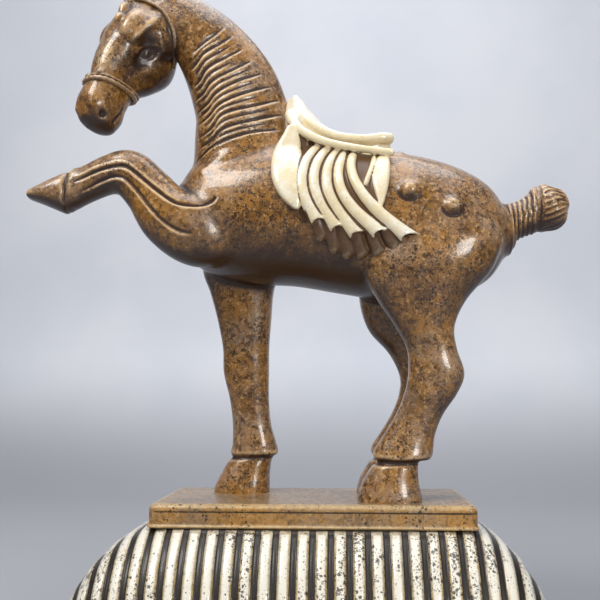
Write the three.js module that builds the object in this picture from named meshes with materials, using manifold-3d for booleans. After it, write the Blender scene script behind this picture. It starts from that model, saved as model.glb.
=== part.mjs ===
// Ceramic war horse with one foreleg raised, cast as one with its oblong plate,
// standing on a ribbed cushion-shaped pedestal.
//
// Frame: millimetres, +Z up, origin in the middle of the pedestal's underside.
// The horse looks along -X, and its left side is on -Y.

import * as THREE from 'three';
import { mergeVertices } from 'three/addons/utils/BufferGeometryUtils.js';
import Module from 'manifold-3d';

const wasm = await Module();
wasm.setup();

// Driving sizes in millimetres
const HORSE_HEIGHT = 432;        // plate top to ear tips
const PLATE_WIDTH = 234;
const PLATE_DEPTH = 116;
const PLATE_THICKNESS = 16.5;
const PLATE_CORNER = 7;          // corner radius seen from above
const PLATE_LIP = 2;             // height of the thin lip along the plate's foot
const LIP_OUT = 1.2;             // the lip stands this far out of the plate's edge
const LIP_SLOPE = 0.6;           // rise of the slope from the lip back to the edge
const PLATE_ROUND = 4;           // rise and depth of the rounding along the plate's top edge
const PLATE_SHIFT = 5;           // the plate sits this far along +X off the pedestal's middle
const PEDESTAL_WIDTH = 346;
const PEDESTAL_DEPTH = 196;
const PEDESTAL_HEIGHT = 96;
const FOOT_HEIGHT = 9;           // plain base under the ribbed cushion
const FOOT_INSET = 7;            // how far the base stands back from the widest ribs
const FOOT_CORNER = 30;          // its corner radius seen from above
const FOOT_OVERLAP = 1;          // the base runs this far up into the cushion
const PLATE_MARGIN = 2;          // flat top showing around the plate
const RIB_PITCH = 12.6;
const RIB_SHARE = 0.6;           // rib's share of one pitch, the rest is groove
const GROOVE_DEPTH = 2.6;
const SEAM = 0.3;                // gap between the plate and the pedestal
const SINK = 3;                  // how far hooves run into the plate they are cast with

// The figure is drawn in hundredths of its height, from the plate's top up
const UNIT = HORSE_HEIGHT / 100;
const PLATE_TOP = PEDESTAL_HEIGHT + SEAM + PLATE_THICKNESS;
const SIDE = new THREE.Vector3(0, 1, 0);

// Solids

function toSolid(geometry) {
  const bare = geometry.index ? geometry.clone() : geometry;
  bare.deleteAttribute('normal');
  bare.deleteAttribute('uv');
  const merged = mergeVertices(bare, 1e-4);
  return new wasm.Manifold(new wasm.Mesh({
    numProp: 3,
    vertProperties: new Float32Array(merged.attributes.position.array),
    triVerts: new Uint32Array(merged.index.array),
  }));
}

function toGeometry(solid) {
  const mesh = solid.getMesh();
  const geometry = new THREE.BufferGeometry();
  geometry.setAttribute('position', new THREE.BufferAttribute(new Float32Array(mesh.vertProperties), 3));
  geometry.setIndex(new THREE.BufferAttribute(new Uint32Array(mesh.triVerts), 1));
  geometry.computeVertexNormals();
  return geometry;
}

function signedVolume(points, faces) {
  let sum = 0;
  for (let i = 0; i < faces.length; i += 3) {
    const [a, b, c] = [points[faces[i]], points[faces[i + 1]], points[faces[i + 2]]];
    sum += a.dot(b.clone().cross(c));
  }
  return sum / 6;
}

// Closed skin over rings of equal length, drawn together to a point at each end
function skin(rings, start, end) {
  const sides = rings[0].length;
  const points = [start, ...rings.flat(), end];
  const at = (ring, i) => 1 + ring * sides + (i % sides);
  const faces = [];
  for (let i = 0; i < sides; i += 1) {
    faces.push(0, at(0, i + 1), at(0, i));
    faces.push(points.length - 1, at(rings.length - 1, i), at(rings.length - 1, i + 1));
    for (let ring = 0; ring + 1 < rings.length; ring += 1) {
      faces.push(at(ring, i), at(ring, i + 1), at(ring + 1, i + 1));
      faces.push(at(ring, i), at(ring + 1, i + 1), at(ring + 1, i));
    }
  }
  if (signedVolume(points, faces) < 0) {
    faces.reverse();
  }
  const geometry = new THREE.BufferGeometry().setFromPoints(points);
  geometry.setIndex(faces);
  return geometry;
}

// Smooth value of every column of a table at t between 0 and 1
function alongTable(table, t) {
  const place = Math.min(t, 1) * (table.length - 1);
  const row = Math.min(Math.floor(place), table.length - 2);
  const f = place - row;
  const rowAt = (i) => table[Math.min(Math.max(i, 0), table.length - 1)];
  return rowAt(row).map((b, k) => {
    const [a, c, d] = [rowAt(row - 1)[k], rowAt(row + 1)[k], rowAt(row + 2)[k]];
    return b + 0.5 * f * (c - a + f * (2 * a - 5 * b + 4 * c - d + f * (3 * (b - c) + d - a)));
  });
}

// Body swept through a table of [x, y, z, half height, half width] rows.
// The section's width lies along `side`, its height along path x side, unless `across` fixes
// the plane of every section. `relief` scales the section at (t, angle).
function sweep(table, options = {}) {
  const { sides = 14, steps = 12, side = SIDE, across = null, square = 2, keel = 0 } = options;
  const { dome = 0.5, relief = () => 1 } = options;
  const centre = (t) => new THREE.Vector3(...alongTable(table, t).slice(0, 3));
  const ringAt = (t, swell, push) => {
    const [, , , tall, wide] = alongTable(table, t);
    const tangent = across ?? centre(Math.min(t + 0.01, 1)).sub(centre(Math.max(t - 0.01, 0))).normalize();
    const up = tangent.clone().cross(side).normalize();
    const out = up.clone().cross(tangent).normalize();
    const middle = centre(t).addScaledVector(tangent, push * Math.min(tall, wide));
    return Array.from({ length: sides }, (_, i) => {
      const angle = ((i + 0.5) / sides) * 2 * Math.PI;
      const [c, s] = [Math.cos(angle), Math.sin(angle)];
      const round = (Math.abs(c) ** square + Math.abs(s) ** square) ** (-1 / square);
      const scale = swell * relief(t, angle) * round;
      return middle.clone()
        .addScaledVector(up, tall * scale * s)
        .addScaledVector(out, wide * scale * c * (1 + keel * s));
    });
  };
  const rings = Array.from({ length: steps + 1 }, (_, i) => ringAt(i / steps, 1, 0));
  const first = ringAt(0, 0.72, -0.7 * dome);
  const last = ringAt(1, 0.72, 0.7 * dome);
  const tip = (t, push) => ringAt(t, 0, push)[0];
  return skin([first, ...rings, last], tip(0, -dome), tip(1, dome));
}

// Flattened ball with its own half sizes, turned about +Y by `turn` radians
function lump(place, half, turn = 0, detail = 10) {
  const geometry = new THREE.SphereGeometry(1, detail, Math.max(5, detail / 2));
  geometry.scale(...half);
  geometry.rotateY(turn);
  geometry.translate(...place);
  return geometry;
}

// The figure, in hundredths of its height

const LEG_OUT = 6.3;             // middle of each standing leg, off the horse's mid plane

const TORSO = [
  [-24.6, 0, 51.5, 5, 5],
  [-21.5, 0, 51, 9.6, 8.4],
  [-17, 0, 50.9, 11.6, 10.2],
  [-10, 0, 50.8, 12.9, 11.2],
  [-3, 0, 50.6, 13.2, 11.4],
  [5, 0, 49.3, 13.3, 11.2],
  [13, 0, 48.4, 13.6, 11.4],
  [20, 0, 48.0, 12.9, 11.4],
  [26.5, 0, 47.3, 11.4, 10.4],
  [31.5, 0, 47, 8.6, 8],
  [34.4, 0, 47, 4.6, 5],
];

const NECK = [
  [-10, 0, 53, 12.5, 8.4],
  [-11.4, 0, 59, 12, 7.9],
  [-12.8, 0, 64.5, 9.6, 7.2],
  [-13.4, 0, 70, 8.8, 6.4],
  [-15.2, 0, 75.6, 8.3, 5.8],
  [-18, 0, 80.8, 7.4, 5.3],
  [-21.4, -0.4, 85.2, 6.3, 4.9],
  [-25, -0.6, 88.4, 5.3, 4.6],
  [-28.7, -0.5, 90.2, 4.6, 4.5],
];

// Near foreleg, from inside the shoulder out to the coronet, then its hoof
const RAISED_LEG = [
  [-12.5, -3.2, 48.5, 6, 3.8],
  [-19.4, -6, 46.8, 6.7, 4.9],
  [-25, -6.7, 48.9, 5.6, 4.4],
  [-29.2, -6.8, 53.8, 4.5, 3.7],
  [-32.8, -6.7, 57.2, 4.2, 3.4],
  [-36.2, -6.6, 57.1, 3.6, 3.1],
  [-40, -6.5, 55.6, 3.3, 2.8],
  [-43.4, -6.5, 54.2, 3.5, 2.9],
];
const RAISED_HOOF = [
  [-43.7, -6.5, 53.7, 3.9, 3.3],
  [-45.6, -6.5, 53.7, 3.2, 3.4],
  [-48.4, -6.5, 53.6, 1.9, 3.1],
  [-51, -6.5, 53.5, 0.8, 2.1],
];

// Standing legs, from inside the body down, as [z, front x, rear x, half width]
const FORELEG = [
  [49, -20.5, -4.5, 4.6],
  [42, -21.6, -6.6, 4.9],
  [37, -20, -7.9, 4.3],
  [32, -18.6, -8.3, 3.8],
  [26.5, -17.5, -8.7, 3.4],
  [22, -17.3, -8.7, 3.3],
  [17, -16.1, -8.7, 2.9],
  [12.5, -15.5, -8.3, 2.8],
  [8.6, -15.5, -7.2, 3.1],
  [6.6, -15.8, -7.1, 3.4],
];
const FORE_HOOF = [
  [6, -16, -8.2, 3.3],
  [3.2, -17.6, -8.5, 3.9],
  [0.8, -18.7, -8.5, 4.4],
];
const HIND_LEG = [
  [51, 16, 29.5, 3.4],
  [45.5, 11, 33.2, 5.6],
  [41.5, 9, 32.2, 6.2],
  [38.5, 9, 30.6, 6],
  [34, 11.3, 26.6, 5.1],
  [29.5, 14.2, 24.5, 4.1],
  [25.6, 16.2, 24.8, 3.5],
  [21.4, 16.4, 26, 3.5],
  [18, 15.7, 24.7, 3.2],
  [14.4, 14.2, 22.2, 2.9],
  [11, 12.1, 20.8, 3],
  [8.4, 10.4, 20.4, 3.4],
  [7, 10.6, 19.8, 3.5],
];
const HIND_HOOF = [
  [6.2, 10.3, 17.8, 3.4],
  [3.2, 8.4, 17.9, 3.9],
  [0.8, 7.6, 18.4, 4.4],
];

const TAIL = [
  [31, 0, 48.2, 4.2, 4],
  [34.6, 0, 48.6, 3.6, 3.4],
  [37.6, 0, 49.5, 3.3, 3.1],
  [40, 0, 50.4, 3.6, 3.3],
  [42, 0, 51.4, 4.4, 4.1],
  [43.6, 0, 52.3, 4, 3.8],
  [44.8, 0, 53, 2.4, 2.3],
];

const LOCKS = 14;                // grooves in the mane along the whole neck
const LOCK_DEPTH = 0.08;         // share of the neck's half size
const TAIL_BANDS = 9;            // along the whole tail, cut only where it is bound
const BAND_DEPTH = 0.12;

// Grooves at even steps, 0 on the crests and -1 in each groove
const grooves = (t, count) => 0.5 * (Math.cos(2 * Math.PI * count * t) - 1);

// The mane's locks cross each side of the neck, and leave its crest and throat smooth
function maneRelief(t, angle) {
  const fromCrest = Math.abs(Math.sin(angle * 0.5 + Math.PI * 0.25));
  const fade = THREE.MathUtils.smoothstep(fromCrest, 0.2, 0.45)
    * (1 - THREE.MathUtils.smoothstep(fromCrest, 0.85, 0.98))
    * THREE.MathUtils.smoothstep(t, 0.22, 0.3);
  return 1 + LOCK_DEPTH * fade * grooves(t, LOCKS);
}

function tailRelief(t) {
  const banded = t > 0.2 && t < 0.62 ? 1 : 0;
  return 1 + BAND_DEPTH * banded * grooves(t, TAIL_BANDS);
}

// Leg built of level sections, on the side given by `flip`, led forward by `lead`
function standingLeg(table, flip, lead = () => 0) {
  const rows = table.map(([z, front, rear, wide]) => {
    const reach = lead(z);
    return [(front + rear - reach) / 2, flip * LEG_OUT, z, (rear - front + reach) / 2, wide];
  });
  const down = new THREE.Vector3(0, 0, -1);
  return sweep(rows, { across: down, sides: 10, steps: 9, dome: 0.25, square: 2.3 });
}

function hoof(table, flip) {
  const rows = table.map(([z, front, rear, wide]) => {
    return [(front + rear) / 2, flip * LEG_OUT, z, (rear - front) / 2, wide];
  });
  const foot = rows.at(-1);
  rows.push([foot[0], foot[1], -SINK / UNIT, foot[3], foot[4]]);
  const down = new THREE.Vector3(0, 0, -1);
  return sweep(rows, { across: down, sides: 10, steps: 2, dome: 0.1, square: 2.6 });
}

// Half width of the torso at (x, z)
function flank(x, z) {
  const place = TORSO.findIndex((row) => row[0] > x);
  const [before, after] = [TORSO[place - 1], TORSO[place]];
  const f = (x - before[0]) / (after[0] - before[0]);
  const mix = (k) => before[k] + f * (after[k] - before[k]);
  const rise = Math.min(Math.abs(z - mix(2)) / mix(3), 0.98);
  return mix(4) * Math.sqrt(1 - rise * rise);
}

// Head, in shares of its own length: [along, face line, throat line, half width]

const HEAD_LENGTH = 28.3;
const HEAD_TOP = [-34.4, -4.2, 93.7];
const HEAD_PITCH = THREE.MathUtils.degToRad(66.5);
const HEAD_TURN = THREE.MathUtils.degToRad(45);
const HEAD_ROLL = THREE.MathUtils.degToRad(5);
const HEAD = [
  [0, -0.08, -0.36, 0.13],
  [0.12, -0.03, -0.46, 0.16],
  [0.26, -0.005, -0.53, 0.175],
  [0.4, 0, -0.54, 0.165],
  [0.54, -0.02, -0.46, 0.135],
  [0.67, -0.04, -0.36, 0.11],
  [0.79, -0.03, -0.34, 0.118],
  [0.88, -0.035, -0.35, 0.125],
  [0.95, -0.08, -0.335, 0.112],
];

function headMatrix() {
  const [cp, sp] = [Math.cos(HEAD_PITCH), Math.sin(HEAD_PITCH)];
  const [ct, st] = [Math.cos(HEAD_TURN), Math.sin(HEAD_TURN)];
  const along = new THREE.Vector3(-cp * ct, -cp * st, -sp);
  const level = new THREE.Vector3(-sp * ct, -sp * st, cp);
  const face = level.clone().applyAxisAngle(along, -HEAD_ROLL);
  const matrix = new THREE.Matrix4().makeBasis(along, face.clone().cross(along), face);
  return matrix.scale(new THREE.Vector3(1, 1, 1).multiplyScalar(HEAD_LENGTH)).setPosition(...HEAD_TOP);
}

// Strap round a section of the head between two points of its profile
function strap(faceEnd, throatEnd, wide, thick) {
  const [a, b] = [new THREE.Vector3(...faceEnd), new THREE.Vector3(...throatEnd)];
  const middle = a.clone().lerp(b, 0.5);
  const reach = a.distanceTo(b) / 2;
  const slope = b.clone().sub(a).normalize();
  const ring = new THREE.TorusGeometry(1, thick, 4, 12);
  const axis = slope.clone().cross(SIDE);
  const matrix = new THREE.Matrix4().makeBasis(
    slope.multiplyScalar(reach),
    SIDE.clone().multiplyScalar(wide),
    axis.multiplyScalar(reach),
  );
  return ring.applyMatrix4(matrix.setPosition(middle));
}

function head() {
  const rows = HEAD.map(([along, top, low, wide]) => [along, 0, (top + low) / 2, (top - low) / 2, wide]);
  const across = new THREE.Vector3(1, 0, 0);
  const pieces = [
    sweep(rows, { across, sides: 14, steps: 9, square: 2.4, keel: 0.12, dome: 0.55 }),
    strap([0.75, 0, -0.036], [0.672, 0, -0.36], 0.118, 0.12),
    strap([0.03, 0, -0.04], [0.21, 0, -0.56], 0.17, 0.06),
  ];
  for (const flip of [-1, 1]) {
    pieces.push(lump([0.33, flip * 0.125, -0.095], [0.12, 0.055, 0.1], 0.2, 8));
    pieces.push(lump([0.41, flip * 0.158, -0.23], [0.05, 0.03, 0.035], 0.2, 6));
  }
  return pieces.map((piece) => piece.applyMatrix4(headMatrix()));
}

function ear(flip) {
  const rows = [
    [-26.6, flip * 2.4 - 0.6, 89.5, 1.5, 1.3],
    [-27, flip * 3 - 0.8, 93, 1.7, 1.2],
    [-27, flip * 3.5 - 1, 96.2, 1.3, 0.9],
    [-26.3, flip * 3.8 - 1, 99.3, 0.45, 0.35],
  ];
  return sweep(rows, { sides: 6, steps: 4, dome: 0.6 });
}

// Saddle

const SEAT = [
  [-4.4, 0, 66.5, 6.2, 3.6],
  [-3, 0, 66.8, 6.4, 5],
  [-0.6, 0, 65.2, 5, 5.8],
  [2.6, 0, 63.6, 3, 6.2],
  [7, 0, 62.2, 2.4, 6.2],
  [11, 0, 61.6, 2.5, 5.8],
  [13.6, 0, 61.6, 2.5, 4.8],
];
const UPPER_ROLL = [
  [-4, 0, 72.4, 1.1, 1.1],
  [-3.1, 3.2, 70.4, 1.1, 1.1],
  [-1.7, 4.8, 67.5, 1.05, 1.05],
  [0.9, 5.7, 65.2, 0.95, 1],
  [4.6, 6.2, 63.5, 0.9, 0.95],
  [9.1, 6.3, 63, 0.9, 0.95],
  [12.6, 5.6, 63.4, 1, 1],
  [14, 3.4, 63.4, 1.1, 1.1],
];
// Edges of the cloth on each side, from the lower roll down: [z, front x, rear x]
const CLOTH = [
  [63.5, -4.2, 13],
  [60.5, -6, 13.7],
  [57, -6.9, 13.6],
  [53.6, -6.4, 13.2],
  [50.4, -4.4, 12.7],
  [47.6, -1.2, 14.4],
  [44.6, 1.5, 16.9],
  [41.6, 3.9, 16],
];
const CLOTH_THICK = 1.1;
const LOWER_ROLL = [
  [-5.2, 3.6, 68.6, 1, 1],
  [-4.2, 6.5, 66.4, 1, 1],
  [-1.9, 7.5, 64.1, 0.95, 0.95],
  [2.4, 8, 62, 0.85, 0.9],
  [7.8, 8.2, 60.7, 0.8, 0.85],
  [14.2, 7.7, 59.9, 0.8, 0.85],
];

// Folds of the cloth: where each starts under the lower roll, how far it hangs straight, and where
// it ends after sweeping back
const FOLDS = [
  { top: [1.4, 61.6], knee: [-1.6, 53.6], end: [2.2, 46] },
  { top: [3, 61.3], knee: [0.3, 53], end: [5.5, 45.1] },
  { top: [4.8, 61], knee: [2.7, 52.4], end: [8.7, 44.2] },
  { top: [6.4, 60.8], knee: [5.2, 52.2], end: [12.5, 44.4] },
  { top: [8, 60.6], knee: [8.6, 52], end: [16.8, 43.8] },
];

// Rows of one fold, laid over the horse's side, on the side given by `flip`
function foldRows({ top, knee, end }, flip, count = 6) {
  return Array.from({ length: count }, (_, i) => {
    const f = i / (count - 1);
    const [x, z] = [0, 1].map((k) => {
      const pull = 2 * knee[k] - 0.5 * (top[k] + end[k]);
      return (1 - f) ** 2 * top[k] + 2 * f * (1 - f) * pull + f * f * end[k];
    });
    const swell = 0.9 + 0.3 * f;
    return [x, flip * (flank(x, z) + 0.45), z, swell, 1.3 * swell];
  });
}

// Cloth laid over the horse's side, thick enough to reach well into the body
function clothSide(flip, columns = 6) {
  const line = ([z, front, rear], lift) => Array.from({ length: columns }, (_, i) => {
    const x = front + ((rear - front) * i) / (columns - 1);
    return new THREE.Vector3(x, flip * (flank(x, z) + lift), z);
  });
  const sheet = (lift) => CLOTH.map((row) => line(row, lift));
  const [outer, inner] = [sheet(CLOTH_THICK), sheet(-2)];
  const rings = outer.map((row, i) => [...row, ...inner[i].slice().reverse()]);
  const middle = (ring) => {
    const sum = ring.reduce((total, p) => total.add(p), new THREE.Vector3());
    return sum.divideScalar(ring.length);
  };
  return skin(rings, middle(rings[0]), middle(rings.at(-1)));
}

function saddle() {
  const across = new THREE.Vector3(1, 0, 0);
  const pieces = [sweep(SEAT, { across, sides: 10, steps: 6, square: 2.5, dome: 0.3 })];
  for (const flip of [-1, 1]) {
    const mirror = (rows) => rows.map(([x, y, z, tall, wide]) => [x, flip * y, z, tall, wide]);
    const upright = new THREE.Vector3(0, 0, 1);
    pieces.push(sweep(mirror(UPPER_ROLL), { side: upright, sides: 5, steps: 7 }));
    pieces.push(sweep(mirror(LOWER_ROLL), { side: upright, sides: 5, steps: 6 }));
    pieces.push(clothSide(flip));
    for (const fold of FOLDS) {
      pieces.push(sweep(foldRows(fold, flip), { sides: 5, steps: 4, dome: 0.25 }));
    }
    for (const [x, z] of [[16.8, 52.4], [24, 49.6]]) {
      pieces.push(lump([x, flip * (flank(x, z) - 0.1), z], [1.7, 1.3, 1.7], 0, 6));
    }
    pieces.push(lump([15.6, flip * 3.6, 60.4], [1.1, 1.1, 1.1], 0, 6));
  }
  return pieces;
}

function figure() {
  const far = (z) => 4 * Math.exp(-(((z - 30) / 6.5) ** 2));
  const along = new THREE.Vector3(1, 0, 0);
  return [
    sweep(TORSO, { across: along, sides: 16, steps: 10, dome: 0.3 }),
    sweep(NECK, { sides: 12, steps: 2 * LOCKS, dome: 0.5, keel: 0.2, relief: maneRelief }),
    ...head(),
    ear(-1),
    ear(1),
    sweep(RAISED_LEG, { sides: 10, steps: 10, dome: 0.3, square: 2.3 }),
    sweep(RAISED_HOOF, { sides: 10, steps: 3, dome: 0.35, square: 2.3 }),
    standingLeg(FORELEG, 1),
    hoof(FORE_HOOF, 1),
    standingLeg(HIND_LEG, -1),
    hoof(HIND_HOOF, -1),
    standingLeg(HIND_LEG, 1, far),
    hoof(HIND_HOOF, 1),
    sweep(TAIL, { sides: 8, steps: 2 * TAIL_BANDS, relief: tailRelief }),
    ...saddle(),
  ];
}

// Plate and pedestal

// Ring of a rounded oblong at height z, with `corner` as the radius of its corners
function oblong(width, depth, corner, z, sides) {
  const radius = Math.min(corner, width / 2 - 0.1, depth / 2 - 0.1);
  return Array.from({ length: sides }, (_, i) => {
    const quarter = Math.floor((4 * i) / sides);
    const f = (i - (quarter * sides) / 4) / (sides / 4 - 1);
    const angle = (quarter + f) * 0.5 * Math.PI;
    const [sx, sy] = [[1, 1], [-1, 1], [-1, -1], [1, -1]][quarter];
    const x = sx * (width / 2 - radius) + radius * Math.cos(angle);
    const y = sy * (depth / 2 - radius) + radius * Math.sin(angle);
    return new THREE.Vector3(x, y, z);
  });
}

function plate() {
  const bottom = PEDESTAL_HEIGHT + SEAM;
  const levels = [
    [0, 0],
    [PLATE_LIP, 0],
    [PLATE_LIP + LIP_SLOPE, LIP_OUT],
    [PLATE_THICKNESS - PLATE_ROUND, LIP_OUT],
    [PLATE_THICKNESS - 0.3 * PLATE_ROUND, LIP_OUT + 0.3 * PLATE_ROUND],
    [PLATE_THICKNESS, LIP_OUT + PLATE_ROUND],
  ];
  const rings = levels.map(([z, inset]) => {
    return oblong(PLATE_WIDTH - 2 * inset, PLATE_DEPTH - 2 * inset, PLATE_CORNER, bottom + z, 16);
  });
  const middle = (z) => new THREE.Vector3(0, 0, z);
  return skin(rings, middle(bottom), middle(PLATE_TOP));
}

function horseOnPlate() {
  const parts = figure().map((geometry) => {
    geometry.scale(UNIT, UNIT, UNIT);
    geometry.translate(0, 0, PLATE_TOP);
    return toSolid(geometry);
  });
  const whole = parts.reduce((sum, part) => sum.add(part), toSolid(plate()));
  return toGeometry(whole).translate(PLATE_SHIFT, 0, 0);
}

// The cushion's flat top is centred under the plate, and its widest ribs on the pedestal
const CUSHION_HEIGHT = PEDESTAL_HEIGHT - FOOT_HEIGHT;
const PLAN_POWER = 5;
const WIDEST = 0.93;             // drop at which the ribs stand out furthest
const TURN_IN = 0.05;            // how far they turn back in from there to the foot
const SHOULDER = 0.7;            // under 1 the shoulders are fuller

// Share of the way out: a full-shouldered quarter wave to the widest ribs, then slightly back in
function outward(drop) {
  const f = Math.min(drop / WIDEST, 1) ** SHOULDER;
  const back = Math.max(0, drop - WIDEST) / (1 - WIDEST);
  return Math.sin(0.5 * Math.PI * f) - TURN_IN * back;
}

// Half depth at a share of the cushion's height below its top
function depthAt(drop) {
  const top = PLATE_DEPTH / 2 + PLATE_MARGIN;
  return top + (PEDESTAL_DEPTH / 2 - top) * outward(drop);
}

// Reach towards the end that x lies on
function reachAt(x, drop) {
  const top = PLATE_WIDTH / 2 + PLATE_MARGIN + Math.sign(x) * PLATE_SHIFT;
  return top + (PEDESTAL_WIDTH / 2 - top) * outward(drop);
}

// Drop at which the cushion first reaches out to x
function dropAt(x) {
  let [low, high] = [0, WIDEST];
  if (Math.abs(x) <= reachAt(x, 0)) {
    return 0;
  }
  for (let i = 0; i < 30; i += 1) {
    const mid = (low + high) / 2;
    if (reachAt(x, mid) < Math.abs(x)) {
      low = mid;
    } else {
      high = mid;
    }
  }
  return high;
}

// Section of the cushion at x, from its middle top round to its middle top again
function cushionSection(x, groove) {
  const top = dropAt(x);
  const drops = [0, 0.05, 0.2, 0.5, 1].map((f) => top + (WIDEST - top) * f);
  const half = [...drops, 1].map((drop, i) => {
    const share = Math.min(Math.abs(x) / reachAt(x, drop), 1);
    const depth = depthAt(drop) * (1 - share ** PLAN_POWER) ** (1 / PLAN_POWER);
    const sunk = i === 0 && top > 0 ? groove : 0;
    return [Math.max(depth - groove, 0.4), PEDESTAL_HEIGHT - drop * CUSHION_HEIGHT - sunk];
  });
  const front = half.map(([y, z]) => new THREE.Vector3(x, -y, z));
  const back = half.map(([y, z]) => new THREE.Vector3(x, y, z)).reverse();
  return [...front, ...back];
}

// Whole ribs along the cushion, a groove between each two, and a narrower rib closing each end
function pedestal() {
  const reach = PEDESTAL_WIDTH / 2;
  const outermost = Math.floor(reach / RIB_PITCH - 0.7);
  const half = (RIB_PITCH * RIB_SHARE) / 2;
  const lastGroove = (outermost + 0.5) * RIB_PITCH;
  const left = reach - lastGroove;
  const closing = [0.85, 0.4].map((f) => lastGroove + f * left);
  const sections = closing.map((x) => cushionSection(-x, 0));
  sections.push(cushionSection(-lastGroove, GROOVE_DEPTH));
  for (let rib = -outermost; rib <= outermost; rib += 1) {
    const middle = rib * RIB_PITCH;
    sections.push(cushionSection(middle - half, 0), cushionSection(middle + half, 0));
    sections.push(cushionSection(middle + RIB_PITCH / 2, GROOVE_DEPTH));
  }
  sections.push(...closing.reverse().map((x) => cushionSection(x, 0)));
  const endHeight = PEDESTAL_HEIGHT - WIDEST * CUSHION_HEIGHT;
  const end = (x) => new THREE.Vector3(x, 0, endHeight);
  const cushion = toSolid(skin(sections, end(-reach), end(reach)));
  const footSize = [PEDESTAL_WIDTH - 2 * FOOT_INSET, PEDESTAL_DEPTH - 2 * FOOT_INSET];
  const footTop = FOOT_HEIGHT + FOOT_OVERLAP;
  const footRings = [0, footTop].map((z) => oblong(...footSize, FOOT_CORNER, z, 20));
  const foot = skin(footRings, new THREE.Vector3(0, 0, 0), new THREE.Vector3(0, 0, footTop));
  return toGeometry(cushion.add(toSolid(foot)));
}

// Finishes

const antiqueGlaze = new THREE.MeshStandardMaterial({ color: 0x8a6a3c, roughness: 0.34, metalness: 0.05 });
const silveredGlaze = new THREE.MeshStandardMaterial({ color: 0xb9ad96, roughness: 0.4, metalness: 0.15 });

function named(name, geometry, material) {
  const mesh = new THREE.Mesh(geometry, material);
  mesh.name = name;
  return mesh;
}

const warHorse = new THREE.Group();
warHorse.add(named('horse_on_plate', horseOnPlate(), antiqueGlaze));
warHorse.add(named('ribbed_pedestal', pedestal(), silveredGlaze));

export default warHorse;
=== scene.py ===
"""Finish of the ceramic war horse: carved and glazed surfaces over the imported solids.

Units are metres, +Z up. The horse looks along -X with its left side on -Y. Places on the figure
are given in hundredths of its height above the plate, as (x along the plate, y across, z up).
"""
import logging
import math
from dataclasses import dataclass, field, replace
from enum import Enum
from typing import Callable, Sequence

import bpy
import numpy as np
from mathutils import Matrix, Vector


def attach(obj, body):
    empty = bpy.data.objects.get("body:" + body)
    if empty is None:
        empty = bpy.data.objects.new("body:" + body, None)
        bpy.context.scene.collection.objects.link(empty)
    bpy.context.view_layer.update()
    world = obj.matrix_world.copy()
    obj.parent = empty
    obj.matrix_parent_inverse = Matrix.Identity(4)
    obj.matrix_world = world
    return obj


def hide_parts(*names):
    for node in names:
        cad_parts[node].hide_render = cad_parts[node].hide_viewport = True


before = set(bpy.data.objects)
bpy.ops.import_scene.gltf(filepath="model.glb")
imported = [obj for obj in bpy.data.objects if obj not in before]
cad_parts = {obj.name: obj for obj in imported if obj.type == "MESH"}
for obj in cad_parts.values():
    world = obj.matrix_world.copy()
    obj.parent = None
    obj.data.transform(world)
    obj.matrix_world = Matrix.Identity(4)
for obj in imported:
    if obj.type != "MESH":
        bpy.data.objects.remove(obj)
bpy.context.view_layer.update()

LOG = logging.getLogger("war_horse")

HORSE_HEIGHT = 0.432
UNIT = HORSE_HEIGHT / 100
PLATE_TOP = 0.1128
PLATE_SHIFT = 0.005
PEDESTAL_TOP = 0.096
ORIGIN = np.array([PLATE_SHIFT, 0.0, PLATE_TOP])
SIDE = np.array([0.0, 1.0, 0.0])
ALONG = np.array([1.0, 0.0, 0.0])
DOWN = np.array([0.0, 0.0, -1.0])
UPRIGHT = np.array([0.0, 0.0, 1.0])
TAU = 2 * math.pi

Array = np.ndarray
Path = Sequence[Sequence[float]]
Place = tuple[float, float, float]
Colour = tuple[float, float, float, float]


class Slot(str, Enum):
    """Finish names of the record."""

    GLAZE = "antique_gold_glaze"
    RIBS = "silvered_rib_glaze"


def smoothstep(x: Array, low: float, high: float) -> Array:
    """Smooth ramp from 0 at low to 1 at high.

    Args:
        x: Values.
        low: Where the ramp starts.
        high: Where the ramp ends.

    Returns:
        The ramp, 0 to 1.
    """
    f = np.clip((x - low) / (high - low), 0, 1)
    return f * f * (3 - 2 * f)


def bell(x: Array, middle: float, half: float) -> Array:
    """Bell curve: e to the power of minus the square of (x - middle) / half."""
    return np.exp(-(((x - middle) / half) ** 2))


def spline(table: Array, t: Array) -> Array:
    """Catmull-Rom curve through the rows of a table, evenly spaced in t.

    Args:
        table: One row for each station.
        t: Places between 0 and 1.

    Returns:
        One interpolated row for each t.
    """
    place = np.clip(t, 0, 1) * (len(table) - 1)
    row = np.minimum(place.astype(int), len(table) - 2)
    f = (place - row)[:, None]
    a, b, c, d = (table[np.clip(row + k, 0, len(table) - 1)] for k in (-1, 0, 1, 2))
    return b + 0.5 * f * (c - a + f * (2 * a - 5 * b + 4 * c - d + f * (3 * (b - c) + d - a)))


def superellipse(c: Array, s: Array, power: float) -> Array:
    """Radius of a superellipse of half size 1 where the direction has cosine c and sine s."""
    return (np.abs(c) ** power + np.abs(s) ** power) ** (-1 / power)


@dataclass
class Surface:
    """Points and faces of one closed surface."""

    points: Array
    faces: list[tuple[int, ...]]

    def moved(self, matrix: Array, shift: Array) -> "Surface":
        """The surface with its points turned by a matrix and shifted."""
        return Surface(self.points @ matrix.T + shift, self.faces)


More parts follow.
